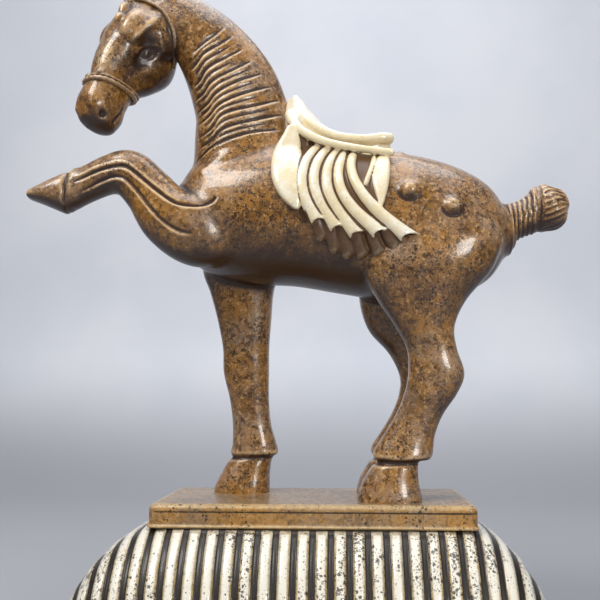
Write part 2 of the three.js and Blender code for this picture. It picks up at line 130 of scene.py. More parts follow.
def skin(rings: Array) -> Surface:
    """Quads between successive rings, with a fan to the middle of the first and last ring.

    Args:
        rings: Array of ring, point around, coordinate.

    Returns:
        The closed surface.
    """
    count, sides = rings.shape[:2]
    index = 1 + np.arange(count * sides).reshape(count, sides)
    around = np.roll(index, -1, axis=1)
    quads = np.stack([index[:-1], around[:-1], around[1:], index[1:]], axis=-1).reshape(-1, 4)
    start = np.stack([np.zeros(sides, int), around[0], index[0]], axis=-1)
    end = np.stack([np.full(sides, count * sides + 1), index[-1], around[-1]], axis=-1)
    points = np.concatenate([rings[0].mean(0)[None], rings.reshape(-1, 3), rings[-1].mean(0)[None]])
    a, b, c = points[quads[:, 0]], points[quads[:, 1]], points[quads[:, 2]]
    faces = [tuple(row) for part in (quads, start, end) for row in part.tolist()]
    if np.einsum("ij,ij->i", a - points.mean(0), np.cross(b - a, c - a)).sum() < 0:
        faces = [face[::-1] for face in faces]
    return Surface(points, faces)


@dataclass
class Loft:
    """Body carried along a path: rows of x, y, z, half height and half width.

    Each section is a superellipse. Its width lies along `side` and its height along path x side,
    unless `across` fixes the plane of every section.
    """

    rows: Path
    sides: int = 40
    steps: int = 60
    side: Array = field(default_factory=lambda: SIDE)
    across: Array | None = None
    square: float = 2.0
    keel: float = 0.0
    dome: float = 0.5

    def axes(self, t: Array) -> tuple[Array, Array, Array, Array]:
        """Centre line, section sizes and the two section directions at t.

        Args:
            t: Places between 0 and 1.

        Returns:
            Interpolated rows, path direction, up direction and side direction.
        """
        table = np.array(self.rows, float)
        here = spline(table, t)
        if self.across is None:
            ahead, behind = spline(table, np.minimum(t + 0.01, 1)), spline(table, np.maximum(t - 0.01, 0))
            tangent = ahead[:, :3] - behind[:, :3]
        else:
            tangent = np.broadcast_to(self.across, here[:, :3].shape).copy()
        tangent /= np.linalg.norm(tangent, axis=1, keepdims=True)
        up = np.cross(tangent, self.side)
        up /= np.linalg.norm(up, axis=1, keepdims=True)
        return here, tangent, up, np.cross(up, tangent)

    def build(self) -> Surface:
        """Rings along the path, with quarter-round ends.

        Returns:
            The closed surface, in the figure's hundredths.
        """
        caps = np.linspace(0, 1, 7)[1:-1] * math.pi / 2
        t = np.concatenate([np.zeros(5), np.linspace(0, 1, self.steps + 1), np.ones(5)])
        swell = np.concatenate([np.sin(caps), np.ones(self.steps + 1), np.cos(caps)])
        push = np.concatenate([-np.cos(caps), np.zeros(self.steps + 1), np.sin(caps)]) * self.dome
        here, tangent, up, out = self.axes(t)
        angle = (np.arange(self.sides) + 0.5) / self.sides * TAU
        c, s = np.cos(angle), np.sin(angle)
        radius = superellipse(c, s, self.square)
        scale = swell[:, None] * radius[None]
        middle = here[:, :3] + tangent * (push * here[:, 3:5].min(1))[:, None]
        tall = (here[:, 3:4] * scale * s)[..., None] * up[:, None]
        wide = (here[:, 4:5] * scale * c * (1 + self.keel * s))[..., None] * out[:, None]
        return skin(middle[:, None] + tall + wide)


def ball(place: Sequence[float], half: Sequence[float], turn: float = 0.0, sides: int = 28) -> Surface:
    """Ellipsoid turned about +Y.

    Args:
        place: Its middle.
        half: Half sizes along x, y, z.
        turn: Turn in radians.
        sides: Points around.

    Returns:
        The closed surface.
    """
    lat = np.linspace(0, math.pi, sides // 2 + 1)[1:-1, None]
    lon = np.arange(sides)[None] / sides * TAU
    unit = np.stack([np.sin(lat) * np.cos(lon), np.sin(lat) * np.sin(lon), np.cos(lat) + 0 * lon], axis=-1)
    c, s = math.cos(turn), math.sin(turn)
    spin = np.array([[c, 0, s], [0, 1, 0], [-s, 0, c]])
    return skin(unit * np.array(half) @ spin.T + np.array(place))


def mirrored(rows: Path, flip: int) -> list[list[float]]:
    """Rows with y multiplied by flip."""
    return [[row[0], flip * row[1], *row[2:]] for row in rows]


# Tables of the figure, in hundredths of its height

TORSO = [
    [-24.6, 0, 51.5, 5, 5], [-21.5, 0, 51, 9.6, 8.4], [-17, 0, 50.9, 11.6, 10.2],
    [-10, 0, 50.8, 12.9, 11.2], [-3, 0, 50.6, 13.2, 11.4], [5, 0, 49.3, 13.3, 11.2],
    [13, 0, 48.4, 13.6, 11.4], [20, 0, 48.0, 12.9, 11.4], [26.5, 0, 47.3, 11.4, 10.4],
    [31.5, 0, 47, 8.6, 8], [34.4, 0, 47, 4.6, 5],
]
NECK = [
    [-10, 0, 53, 12.5, 8.4], [-11.4, 0, 59, 12, 7.9], [-12.8, 0, 64.5, 9.6, 7.2],
    [-13.4, 0, 70, 8.8, 6.4], [-15.2, 0, 75.6, 8.3, 5.8], [-18, 0, 80.8, 7.4, 5.3],
    [-21.4, -0.4, 85.2, 6.3, 4.9], [-25, -0.6, 88.4, 5.3, 4.6], [-28.7, -0.5, 90.2, 4.6, 4.5],
]
RAISED_LEG = [
    [-12.5, -3.2, 48.5, 6, 3.8], [-19.4, -6, 46.8, 6.7, 4.9], [-25, -6.7, 48.9, 5.6, 4.4],
    [-29.2, -6.8, 53.8, 4.5, 3.7], [-32.8, -6.7, 57.2, 4.2, 3.4], [-36.2, -6.6, 57.1, 3.6, 3.1],
    [-40, -6.5, 55.6, 3.3, 2.8], [-43.4, -6.5, 54.2, 3.5, 2.9],
]
RAISED_HOOF = [
    [-43.7, -6.5, 53.7, 3.9, 3.3], [-45.6, -6.5, 53.7, 3.2, 3.4],
    [-48.4, -6.5, 53.6, 1.9, 3.1], [-51, -6.5, 53.5, 0.8, 2.1],
]
TAIL = [
    [31, 0, 48.2, 4.2, 4], [34.6, 0, 48.6, 3.6, 3.4], [37.6, 0, 49.5, 3.3, 3.1],
    [40, 0, 50.4, 3.6, 3.3], [42, 0, 51.4, 4.4, 4.1], [43.6, 0, 52.3, 4, 3.8], [44.8, 0, 53, 2.4, 2.3],
]

# Standing legs as z, front x, rear x, half width
FORELEG = [
    [49, -20.5, -4.5, 4.6], [42, -21.6, -6.6, 4.9], [37, -20, -7.9, 4.3], [32, -18.6, -8.3, 3.8],
    [26.5, -17.5, -8.7, 3.4], [22, -17.3, -8.7, 3.3], [17, -16.1, -8.7, 2.9], [12.5, -15.5, -8.3, 2.8],
    [8.6, -15.5, -7.2, 3.1], [6.6, -15.8, -7.1, 3.4],
]
FORE_HOOF = [[6, -16, -8.2, 3.3], [3.2, -17.6, -8.5, 3.9], [0.8, -18.7, -8.5, 4.4]]
HIND_LEG = [
    [51, 16, 29.5, 3.4], [45.5, 11, 33.2, 5.6], [41.5, 9, 32.2, 6.2], [38.5, 9, 30.6, 6],
    [34, 11.3, 26.6, 5.1], [29.5, 14.2, 24.5, 4.1], [25.6, 16.2, 24.8, 3.5], [21.4, 16.4, 26, 3.5],
    [18, 15.7, 24.7, 3.2], [14.4, 14.2, 22.2, 2.9], [11, 12.1, 20.8, 3], [8.4, 10.4, 20.4, 3.4],
    [7, 10.6, 19.8, 3.5],
]
HIND_HOOF = [[6.2, 10.3, 17.8, 3.4], [3.2, 8.4, 17.9, 3.9], [0.8, 7.6, 18.4, 4.4]]

# Head as shares of its length: along, face line, throat line, half width
HEAD_LENGTH = 28.3
HEAD_TOP = np.array([-34.4, -4.2, 93.7])
HEAD_PITCH, HEAD_TURN, HEAD_ROLL = (math.radians(v) for v in (66.5, 45, 5))
HEAD_SQUARE, HEAD_KEEL = 2.25, 0.16
HEAD = [
    [0, -0.08, -0.36, 0.13], [0.12, -0.03, -0.46, 0.16], [0.26, -0.005, -0.53, 0.175],
    [0.4, 0, -0.54, 0.165], [0.54, -0.02, -0.46, 0.135], [0.67, -0.04, -0.36, 0.11],
    [0.79, -0.03, -0.34, 0.118], [0.88, -0.035, -0.35, 0.125], [0.95, -0.08, -0.335, 0.112],
]


def head_axes() -> Array:
    """Head's own directions in the figure's frame.

    Returns:
        Matrix whose columns are the directions along the head, to its left and out of its face.
    """
    cp, sp, ct, st = (f(v) for v in (HEAD_PITCH, HEAD_TURN) for f in (math.cos, math.sin))
    along = np.array([-cp * ct, -cp * st, -sp])
    face = np.array([-sp * ct, -sp * st, cp])
    face = face * math.cos(HEAD_ROLL) + np.cross(face, along) * math.sin(HEAD_ROLL)
    return np.stack([along, np.cross(face, along), face], axis=1)


def head_local(points: Array) -> Array:
    """Points of the figure in the head's frame, in shares of its length."""
    return (points - HEAD_TOP) @ head_axes() / HEAD_LENGTH


def flank(x: Array, z: Array) -> Array:
    """Half width of the torso at x and z.

    Args:
        x: Places along the horse.
        z: Heights.

    Returns:
        Distance of the torso's side from the mid plane.
    """
    table = np.array(TORSO, float)
    middle, tall, wide = (np.interp(x, table[:, 0], table[:, k]) for k in (2, 3, 4))
    rise = np.minimum(np.abs(z - middle) / tall, 0.98)
    return wide * np.sqrt(1 - rise * rise)


# Mesh work

def to_object(name: str, surface: Surface) -> bpy.types.Object:
    """Mesh object at the origin with its place in its mesh.

    Args:
        name: Name of the object.
        surface: Points in metres, and faces.

    Returns:
        The linked object.
    """
    mesh = bpy.data.meshes.new(name)
    mesh.from_pydata(surface.points.tolist(), [], surface.faces)
    mesh.update()
    mesh.polygons.foreach_set("use_smooth", np.ones(len(mesh.polygons), bool))
    obj = bpy.data.objects.new(name, mesh)
    bpy.context.scene.collection.objects.link(obj)
    return obj


def to_metres(surface: Surface) -> Surface:
    """Surface of the figure's hundredths placed in the frame."""
    return Surface(surface.points * UNIT + ORIGIN, surface.faces)


def joined(surfaces: Sequence[Surface]) -> Surface:
    """All surfaces as one, still overlapping.

    Args:
        surfaces: Closed surfaces.

    Returns:
        One surface with all their points and faces.
    """
    starts = np.cumsum([0] + [len(s.points) for s in surfaces])
    faces = [tuple(i + start for i in face) for s, start in zip(surfaces, starts) for face in s.faces]
    return Surface(np.concatenate([s.points for s in surfaces]), faces)


def baked(obj: bpy.types.Object) -> None:
    """Replace the object's mesh by its evaluated one and drop its modifiers.

    Args:
        obj: The object.
    """
    graph = bpy.context.evaluated_depsgraph_get()
    mesh = bpy.data.meshes.new_from_object(obj.evaluated_get(graph))
    obj.modifiers.clear()
    old, obj.data = obj.data, mesh
    bpy.data.meshes.remove(old)


def fused(name: str, surfaces: Sequence[Surface], voxel: float) -> bpy.types.Object:
    """One closed skin round all the surfaces.

    Args:
        name: Name of the object.
        surfaces: Overlapping closed surfaces, in hundredths.
        voxel: Size of the skin's facets, in metres.

    Returns:
        The object, at the origin.
    """
    obj = to_object(name, to_metres(joined(surfaces)))
    remesh = obj.modifiers.new("fuse", "REMESH")
    remesh.mode = "VOXEL"
    remesh.voxel_size = voxel
    remesh.use_smooth_shade = True
    baked(obj)
    return obj


def store_hollow(mesh: bpy.types.Mesh, values: Array) -> None:
    """Keep the attribute that the glazes read at each vertex: -1 on a ridge to 1 in a hollow, with painted shade
    and highlights added on the head and the plate's lip.

    Args:
        mesh: The mesh.
        values: One number for each vertex.
    """
    attribute = mesh.attributes.new("hollow", "FLOAT", "POINT")
    attribute.data.foreach_set("value", np.clip(values, -1, 1).astype(np.float32))


class Sculpt:
    """Vertices of a mesh as arrays, worked on in the figure's hundredths."""

    def __init__(self, obj: bpy.types.Object) -> None:
        """Read the mesh.

        Args:
            obj: Object at the origin, in metres.
        """
        self.mesh = obj.data
        count = len(self.mesh.vertices)
        flat = np.empty(count * 3)
        self.mesh.vertices.foreach_get("co", flat)
        self.points = (flat.reshape(-1, 3) - ORIGIN) / UNIT
        edges = np.empty(len(self.mesh.edges) * 2, int)
        self.mesh.edges.foreach_get("vertices", edges)
        self.edges = edges.reshape(-1, 2)
        self.degree = np.bincount(edges, minlength=count).astype(float)[:, None]

    def normals(self) -> Array:
        """Unit vertex normals of the current shape.

        Returns:
            One row for each vertex.
        """
        self.write()
        flat = np.empty(len(self.points) * 3)
        self.mesh.vertex_normals.foreach_get("vector", flat)
        return flat.reshape(-1, 3)

    def write(self) -> None:
        """Put the points back into the mesh, in metres."""
        self.mesh.vertices.foreach_set("co", (self.points * UNIT + ORIGIN).ravel())
        self.mesh.update()

    def around(self, values: Array) -> Array:
        """Mean of the neighbours' values at each vertex.

        Args:
            values: One row for each vertex.

        Returns:
            The means, one row for each vertex.
        """
        total = np.empty_like(values)
        for k in range(values.shape[1]):
            column = values[:, k]
            total[:, k] = (
                np.bincount(self.edges[:, 0], column[self.edges[:, 1]], len(values))
                + np.bincount(self.edges[:, 1], column[self.edges[:, 0]], len(values))
            )
        return total / self.degree

    def relax(self, rounds: int, weight: Array | float = 1.0) -> None:
        """Even the shape out by moving each point towards its neighbours' mean.

        Args:
            rounds: How many times.
            weight: Share of the move at each vertex.
        """
        for _ in range(rounds):
            self.points += 0.5 * weight * (self.around(self.points) - self.points)

    def fill(self, rounds: int, weight: Array | float = 1.0) -> None:
        """Round off inner corners only: a point moves to its neighbours' mean where that lies outside.

        Args:
            rounds: How many times.
            weight: Share of the move at each vertex.
        """
        for k in range(rounds):
            if k % 6 == 0:
                normal = self.normals()
            move = self.around(self.points) - self.points
            outward = np.einsum("ij,ij->i", move, normal)[:, None]
            self.points += 0.6 * weight * np.where(outward > 0, move, 0.12 * move)

    def push(self, height: Array) -> None:
        """Move every point along its normal by a height in hundredths."""
        self.points += self.normals() * height[:, None]

    def hollowness(self, rounds: int) -> Array:
        """How far each point lies inside its smoothed neighbourhood, in hundredths.

        Args:
            rounds: Width of the neighbourhood in edges.

        Returns:
            Positive values in hollows, negative ones on ridges.
        """
        smooth = self.points.copy()
        for _ in range(rounds):
            smooth = self.around(smooth)
        return np.einsum("ij,ij->i", smooth - self.points, self.normals())


def near_path(points: Array, path: Path, count: int = 36) -> tuple[Array, Array]:
    """Distance of each point from a smooth path through a few places.

    Args:
        points: Points, with as many coordinates as the path.
        path: Places on the path.
        count: Samples along the path.

    Returns:
        Distance to the path, and place along it from 0 to 1.
    """
    samples = spline(np.array(path, float), np.linspace(0, 1, count))
    best = np.full(len(points), 1e9)
    where = np.zeros(len(points))
    for i, (a, b) in enumerate(zip(samples[:-1], samples[1:])):
        step = b - a
        f = np.clip(((points - a) @ step) / (step @ step), 0, 1)
        distance = np.linalg.norm(points - a - f[:, None] * step, axis=1)
        closer = distance < best
        best = np.where(closer, distance, best)
        where = np.where(closer, (i + f) / (count - 1), where)
    return best, where


# Strokes reach a little above and below the surface, so distances across the body count less
FLATTEN = np.array([1.0, 0.5, 1.0])


@dataclass(frozen=True)
class Stroke:
    """One carved line: a bell-shaped cut or ridge along a path, thinning out at both ends.

    With a lip, the surface also rises just under the line and slopes away from it, as where one
    lock of hair overlaps the next.
    """

    path: Path
    width: float
    height: float
    fade: float = 0.15
    lip: float = 0.0
    reach: float = 3.5

    def relief(self, points: Array) -> Array:
        """Height that the stroke adds at each point.

        Args:
            points: Points in the path's own units.

        Returns:
            Heights, 0 away from the stroke.
        """
        ends = np.array(self.path, float)
        margin = self.width * (3 if self.lip == 0 else 2 * self.reach)
        low, high = ends.min(0) - margin, ends.max(0) + margin
        inside = np.flatnonzero(((points > low) & (points < high)).all(1))
        out = np.zeros(len(points))
        if len(inside) == 0:
            return out
        distance, where = near_path(points[inside] * FLATTEN, ends * FLATTEN)
        thin = smoothstep(np.minimum(where, 1 - where), -0.02, self.fade)
        cut = bell(distance, 0, self.width * (0.6 + 0.4 * thin))
        out[inside] = self.height * thin * cut
        if self.lip:
            line = spline(ends, where)
            under = smoothstep(line[:, 2] - points[inside, 2], 0, 0.4 * self.width)
            slope = bell(distance, 0, self.reach * self.width)
            out[inside] += self.lip * thin * under * (1 - cut) * slope
        return out

    def mirrored(self) -> "Stroke":
        """The same stroke on the other side."""
        return replace(self, path=[(p[0], -p[1], p[2]) for p in self.path])


def mound(points: Array, place: Sequence[float], half: Sequence[float]) -> Array:
    """Soft bump with its own half sizes: the bell curve of the scaled distance.

    Args:
        points: Points.
        place: Middle of the bump.
        half: Half size along each axis.

    Returns:
        Strength between 0 and 1.
    """
    return np.exp(-(((points - np.array(place)) / np.array(half)) ** 2).sum(1))


def between(a: Path, b: Path) -> list[list[float]]:
    """Path half way between two paths of equal length."""
    return ((np.array(a) + np.array(b)) / 2).tolist()


def fanned(a: Path, b: Path) -> list[list[float]]:
    """Path that starts as a does and ends as b does."""
    f = np.linspace(0, 1, len(a))[:, None]
    return (np.array(a) * (1 - f) + np.array(b) * f).tolist()


# Carved lines of the figure's left side, in hundredths of its height: each lock of the mane and
# the fold of the throat that it runs into

MANE = [
    [(-15.8, -4.0, 86.6), (-17.4, -5.0, 84.4), (-19.6, -5.2, 82.4)],
    [(-14.6, -4.0, 84.2), (-17.2, -5.2, 81.9), (-20.1, -5.3, 79.9)],
    [(-12.9, -3.8, 81.4), (-15.9, -5.3, 79.2), (-19.4, -5.4, 77.0)],
    [(-11.2, -3.8, 79.0), (-14.6, -5.5, 76.7), (-18.5, -5.6, 74.4)],
    [(-9.3, -3.7, 76.5), (-13.2, -5.6, 74.7), (-17.5, -6.0, 72.2)],
    [(-7.5, -3.1, 74.2), (-12.0, -5.8, 72.3), (-16.8, -6.3, 70.0)],
    [(-5.6, -1.9, 71.9), (-10.2, -5.6, 69.9), (-16.2, -6.7, 67.9)],
    [(-5.3, -2.6, 69.0), (-10.1, -6.1, 67.1), (-15.7, -7.1, 65.2)],
    [(-5.9, -4.3, 65.6), (-10.8, -6.8, 64.5), (-15.4, -7.3, 62.9)],
]
THROAT = [
    [(-19.6, -5.2, 82.4), (-21.4, -4.6, 80.6), (-22.8, -3.0, 79.4)],
    [(-20.1, -5.3, 79.9), (-21.5, -4.6, 78.2), (-22.8, -2.6, 77.0)],
    [(-19.6, -5.4, 76.4), (-20.8, -4.6, 75.0), (-22.2, -2.4, 74.2)],
    [(-18.5, -5.7, 74.2), (-20.0, -4.9, 72.6), (-21.8, -2.6, 71.6)],
    [(-17.6, -6.0, 72.0), (-19.2, -5.3, 70.4), (-21.4, -2.8, 69.2)],
    [(-17.0, -6.2, 69.8), (-18.9, -5.7, 67.9), (-21.1, -3.2, 66.6)],
    [(-16.7, -6.6, 67.4), (-18.4, -6.3, 65.3), (-21.0, -3.6, 64.0)],
    [(-16.3, -7.0, 65.0), (-18.2, -6.6, 63.2), (-20.9, -3.9, 61.8)],
    [(-15.9, -7.3, 62.7), (-18.4, -6.7, 61.7), (-21.2, -4.0, 59.4)],
]
LEG_LINE = [
    (-42.4, -9.3, 54.9), (-38.3, -9.4, 56.8), (-34.0, -10.0, 57.7), (-31.8, -10.2, 57.1),
    (-29.0, -10.4, 54.8), (-26.3, -10.6, 52.6), (-23.4, -10.8, 50.7), (-20.1, -10.7, 50.2),
    (-17.6, -10.0, 50.8), (-16.4, -10.3, 52.0),
]
LEG_UNDERLINE = [
    (-41.3, -9.0, 53.2), (-38.3, -9.2, 54.7), (-35.2, -9.6, 55.8), (-32.9, -10.0, 55.5),
    (-30.8, -10.3, 53.6), (-28.6, -10.8, 50.9), (-26.5, -11.0, 48.5), (-24.4, -11.1, 46.7),
    (-22.2, -11.0, 45.6), (-19.8, -10.6, 45.2),
]
SHOULDER = [(-20.4, -8.0, 55.9), (-18.2, -7.4, 58.3), (-13.0, -7.7, 61.1)]
BOSSES = ((16.8, 52.4), (24, 49.6))

# Carved lines of the head's left side, in shares of the head's length

LID_ABOVE = [(0.475, 0.153, -0.19), (0.425, 0.172, -0.186), (0.37, 0.174, -0.22), (0.335, 0.169, -0.29)]
LID_BELOW = [(0.479, 0.151, -0.215), (0.45, 0.155, -0.276), (0.385, 0.16, -0.318), (0.34, 0.166, -0.31)]
BROW = [(0.44, 0.15, -0.11), (0.36, 0.168, -0.122), (0.25, 0.173, -0.155), (0.15, 0.165, -0.19)]
FACE_EDGE = [(0.4, 0.085, -0.015), (0.52, 0.07, -0.02), (0.63, 0.058, -0.04), (0.72, 0.05, -0.045)]
CHEEK = [(0.6, 0.11, -0.24), (0.56, 0.13, -0.33), (0.5, 0.13, -0.41)]
MOUTH = [(0.985, 0.03, -0.235), (0.94, 0.09, -0.255), (0.86, 0.12, -0.275), (0.8, 0.11, -0.27)]
NOSTRIL = (0.95, 0.105, -0.165)
# Curls of the forelock: place along, across and above the face, and half length
FORELOCK = (
    (0.06, 0.02, -0.035, 0.075), (0.13, 0.045, -0.022, 0.07),
    (0.21, 0.056, -0.008, 0.06), (0.285, 0.064, -0.004, 0.042),
)


@dataclass
class Horse:
    """Horse cast as one: body, neck, head, legs and tail, with their carving."""

    voxel: float = 0.00098
    faces_kept: int = 196000
    leg_out: float = 6.3
    hoof_sink: float = 0.7
    lock_depth: float = 0.36
    lock_rise: float = 0.2
    strand_depth: float = 0.24
    band_pitch: float = 0.84
    band_depth: float = 0.12
    tail_strands: int = 22
    tail_depth: float = 0.09

    def head_parts(self) -> list[Surface]:
        """Skull, brows, jowls, nostrils and forelock.

        Returns:
            The closed surfaces, in the figure's hundredths.
        """
        rows = [[a, 0, (top + low) / 2, (top - low) / 2, wide] for a, top, low, wide in HEAD]
        parts = [Loft(rows, 56, 70, across=ALONG, square=HEAD_SQUARE, keel=HEAD_KEEL, dome=0.6).build()]
        for flip in (-1, 1):
            parts.append(ball([0.29, flip * 0.126, -0.1], [0.14, 0.052, 0.085], -0.22))
            parts.append(ball([0.22, flip * 0.145, -0.275], [0.165, 0.088, 0.165], 0.0))
            parts.append(ball([0.9, flip * 0.066, -0.13], [0.062, 0.052, 0.07], 0.3))
        for along, out, face, size in FORELOCK:
            parts.append(ball([along, out, face], [size, 0.036, 0.032], 0.3))
        matrix = head_axes() * HEAD_LENGTH
        return [part.moved(matrix, HEAD_TOP) for part in parts]

    def ear(self, flip: int) -> Surface:
        """Pricked ear.

        Args:
            flip: Side of the head.

        Returns:
            The closed surface.
        """
        rows = [
            [-26.6, flip * 2.4 - 0.6, 89.5, 1.5, 1.3], [-27, flip * 3 - 0.8, 93, 1.75, 1.25],
            [-27, flip * 3.5 - 1, 96.2, 1.35, 0.95], [-26.3, flip * 3.8 - 1, 99.3, 0.4, 0.35],
        ]
        return Loft(rows, sides=24, steps=30, dome=0.7).build()

    def standing_leg(self, table: Path, flip: int, lead: float = 0.0) -> Surface:
        """Leg of level sections.

        Args:
            table: Rows of z, front x, rear x and half width.
            flip: Side of the leg.
            lead: How far the thigh swells forward.

        Returns:
            The closed surface.
        """
        rows = []
        for z, front, rear, wide in table:
            reach = lead * math.exp(-(((z - 30) / 6.5) ** 2))
            middle, half = (front + rear - reach) / 2, (rear - front + reach) / 2
            rows.append([middle, flip * self.leg_out, z, half, wide])
        return Loft(rows, across=DOWN, square=2.25, dome=0.25, steps=80).build()

    def hoof(self, table: Path, flip: int) -> Surface:
        """Hoof of level sections, sunk into the plate.

        Args:
            table: Rows of z, front x, rear x and half width.
            flip: Side of the leg.

        Returns:
            The closed surface.
        """
        out = flip * self.leg_out
        rows = [[(front + rear) / 2, out, z, (rear - front) / 2, wide] for z, front, rear, wide in table]
        rows.append([rows[-1][0], out, -self.hoof_sink, *rows[-1][3:]])
        return Loft(rows, across=DOWN, square=2.5, dome=0.1, steps=24).build()

    def boss_places(self) -> list[Array]:
        """Middles of the round bosses, on the torso's skin on both sides."""
        outs = [float(flank(np.array([x]), np.array([z]))[0]) for x, z in BOSSES]
        return [np.array([x, flip * out, z]) for flip in (-1, 1) for (x, z), out in zip(BOSSES, outs)]

    def bosses(self) -> list[Surface]:
        """Round bosses on the rump and the small knobs behind the saddle."""
        knobs = [ball([15.6, flip * 3.6, 60.5], [1.1, 1.1, 1.0]) for flip in (-1, 1)]
        return [ball(place, [1.6, 1.35, 1.6]) for place in self.boss_places()] + knobs

    def parts(self) -> list[Surface]:
        """All overlapping bodies of the horse.

        Returns:
            Closed surfaces, in the figure's hundredths.
        """
        return [
            Loft(TORSO, across=ALONG, sides=64, steps=80, dome=0.5).build(),
            Loft(NECK, sides=56, steps=90, keel=0.2).build(),
            Loft(RAISED_LEG, square=2.25, steps=80, dome=0.3).build(),
            Loft(RAISED_HOOF, square=2.25, steps=24, dome=0.35).build(),
            self.standing_leg(FORELEG, 1),
            self.hoof(FORE_HOOF, 1),
            self.standing_leg(HIND_LEG, -1),
            self.hoof(HIND_HOOF, -1),
            self.standing_leg(HIND_LEG, 1, lead=4.0),
            self.hoof(HIND_HOOF, 1),
            Loft(TAIL, sides=40, steps=60).build(),
            self.ear(-1),
            self.ear(1),
            *self.head_parts(),
            *self.bosses(),
        ]

    def body_strokes(self) -> list[Stroke]:
        """Locks of the mane with finer strands between, shoulder ridges and lines of the raised leg.

        Returns:
            Strokes in the figure's hundredths.
        """
        strokes = []
        locks = [mane + throat[1:] for mane, throat in zip(MANE, THROAT)]
        for path in locks:
            strokes.append(Stroke(path, 0.27, -self.lock_depth, 0.16, self.lock_rise, 4))
        for k, (a, b) in enumerate(zip(locks[:-1], locks[1:])):
            short = spline(np.array(between(a, b)), np.linspace(0.06 * (k % 3), 1 - 0.08 * (k % 2), 9))
            strokes.append(Stroke(short.tolist(), 0.22, -self.strand_depth, 0.3, 0.5 * self.lock_rise, 3))
            fine = spline(np.array(between(a, fanned(a, b))), np.linspace(0.45 + 0.05 * (k % 3), 1, 7))
            strokes.append(Stroke(fine.tolist(), 0.18, -0.7 * self.strand_depth, 0.35))
        strokes.append(Stroke(SHOULDER, 1.2, 0.36, 0.3))
        strokes.extend([stroke.mirrored() for stroke in strokes])
        strokes.append(Stroke(LEG_LINE, 0.26, -0.36, 0.08, 0.3, 3))
        strokes.append(Stroke(LEG_UNDERLINE, 0.26, -0.28, 0.12, 0.22, 3))
        strokes.append(Stroke([(x, y, z + 0.85) for x, y, z in LEG_LINE[:8]], 0.5, 0.2, 0.1))
        return strokes

    def head_strokes(self) -> list[Stroke]:
        """Lids, brows, edges of the face, cheeks and mouth.

        Returns:
            Strokes in shares of the head's length.
        """
        strokes = [
            Stroke(LID_ABOVE, 0.016, 0.012), Stroke(LID_BELOW, 0.014, 0.005),
            Stroke(BROW, 0.032, 0.022, 0.3), Stroke(FACE_EDGE, 0.05, 0.013, 0.4),
            Stroke(CHEEK, 0.04, -0.012, 0.4), Stroke(MOUTH, 0.010, -0.018, 0.2),
        ]
        return strokes + [stroke.mirrored() for stroke in strokes]

    def head_relief(self, points: Array) -> Array:
        """Eye sockets and eyeballs, hollows before the cheeks, and nostrils.

        Args:
            points: Points in shares of the head's length.

        Returns:
            Heights in the same shares.
        """
        total = np.zeros(len(points))
        for flip in (-1, 1):
            total -= 0.062 * mound(points, (0.435, flip * 0.17, -0.235), (0.1, 0.07, 0.062))
            total += 0.03 * mound(points, (0.415, flip * 0.165, -0.245), (0.045, 0.06, 0.03))
            total -= 0.016 * mound(points, (0.6, flip * 0.12, -0.2), (0.12, 0.06, 0.07))
            nostril = (NOSTRIL[0], flip * NOSTRIL[1], NOSTRIL[2])
            total -= 0.022 * mound(points, nostril, (0.024, 0.026, 0.02))
        return total

    def head_pooling_and_painted_light(self, points: Array) -> Array:
        """Dark glaze in the eyes with painted shade of their sockets, painted shade in the nostrils and before
        the cheeks, a little darker on the muzzle, and painted highlights on the brows, the edges of the face and
        the cheeks.

        Args:
            points: Points in shares of the head's length.

        Returns:
            What is added to their hollowness.
        """
        total = np.zeros(len(points))
        for flip in (-1, 1):
            total += 1.05 * mound(points, (0.43, flip * 0.165, -0.235), (0.1, 0.1, 0.055))
            total -= 0.6 * mound(points, (0.27, flip * 0.13, -0.1), (0.13, 0.07, 0.075))
            total -= 0.5 * mound(points, (0.56, flip * 0.06, -0.05), (0.16, 0.06, 0.05))
            total += 0.35 * mound(points, (0.62, flip * 0.12, -0.25), (0.12, 0.07, 0.09))
            total -= 0.3 * mound(points, (0.46, flip * 0.17, -0.33), (0.1, 0.05, 0.028))
            total += 0.42 * mound(points, (0.95, flip * 0.08, -0.22), (0.18, 0.16, 0.16))
            total += 0.7 * mound(points, (NOSTRIL[0], flip * NOSTRIL[1], NOSTRIL[2]), (0.03, 0.04, 0.03))
        return total

    def tail_relief(self, p: Array) -> Array:
        """Bands round the bound part of the tail, a crease and strands round its knob.

        The bands are a cosine along the tail, the strands one of the angle round it.

        Args:
            p: Points in the figure's hundredths.

        Returns:
            Heights, 0 away from the tail.
        """
        bound = smoothstep(p[:, 0], 34.6, 35.4) * (1 - smoothstep(p[:, 0], 40.1, 40.5))
        bands = self.band_depth * bound * np.cos(TAU * (p[:, 0] - 35.4) / self.band_pitch)
        crease = -0.22 * bell(p[:, 0], 40.6, 0.35) * (p[:, 0] > 34)
        around = np.arctan2(p[:, 2] - 51.6, p[:, 1])
        knob = smoothstep(p[:, 0], 40.9, 41.6)
        strands = self.tail_depth * knob * np.cos(self.tail_strands * around + 2.2 * (p[:, 0] - 41))
        return bands + crease + strands

    def leg_relief(self, p: Array) -> Array:
        """Coronets over the hooves, each a groove and a ridge over it, and creases under the bosses.

        Args:
            p: Points in the figure's hundredths.

        Returns:
            Heights, 0 away from them.
        """
        low = p[:, 2] < 12
        total = -0.34 * bell(p[:, 2], 6.35, 0.4) * low
        total += 0.16 * bell(p[:, 2], 7.5, 0.7) * low
        raised = (p[:, 0] < -40) & (p[:, 2] > 45)
        total += raised * (-0.36 * bell(p[:, 0], -43.6, 0.42) + 0.16 * bell(p[:, 0], -42.6, 0.7))
        for place in self.boss_places():
            offset = p - place
            below = smoothstep(-offset[:, 2], -0.4, 1.2)
            total -= 0.2 * below * bell(np.linalg.norm(offset, axis=1), 1.95, 0.25)
        return total

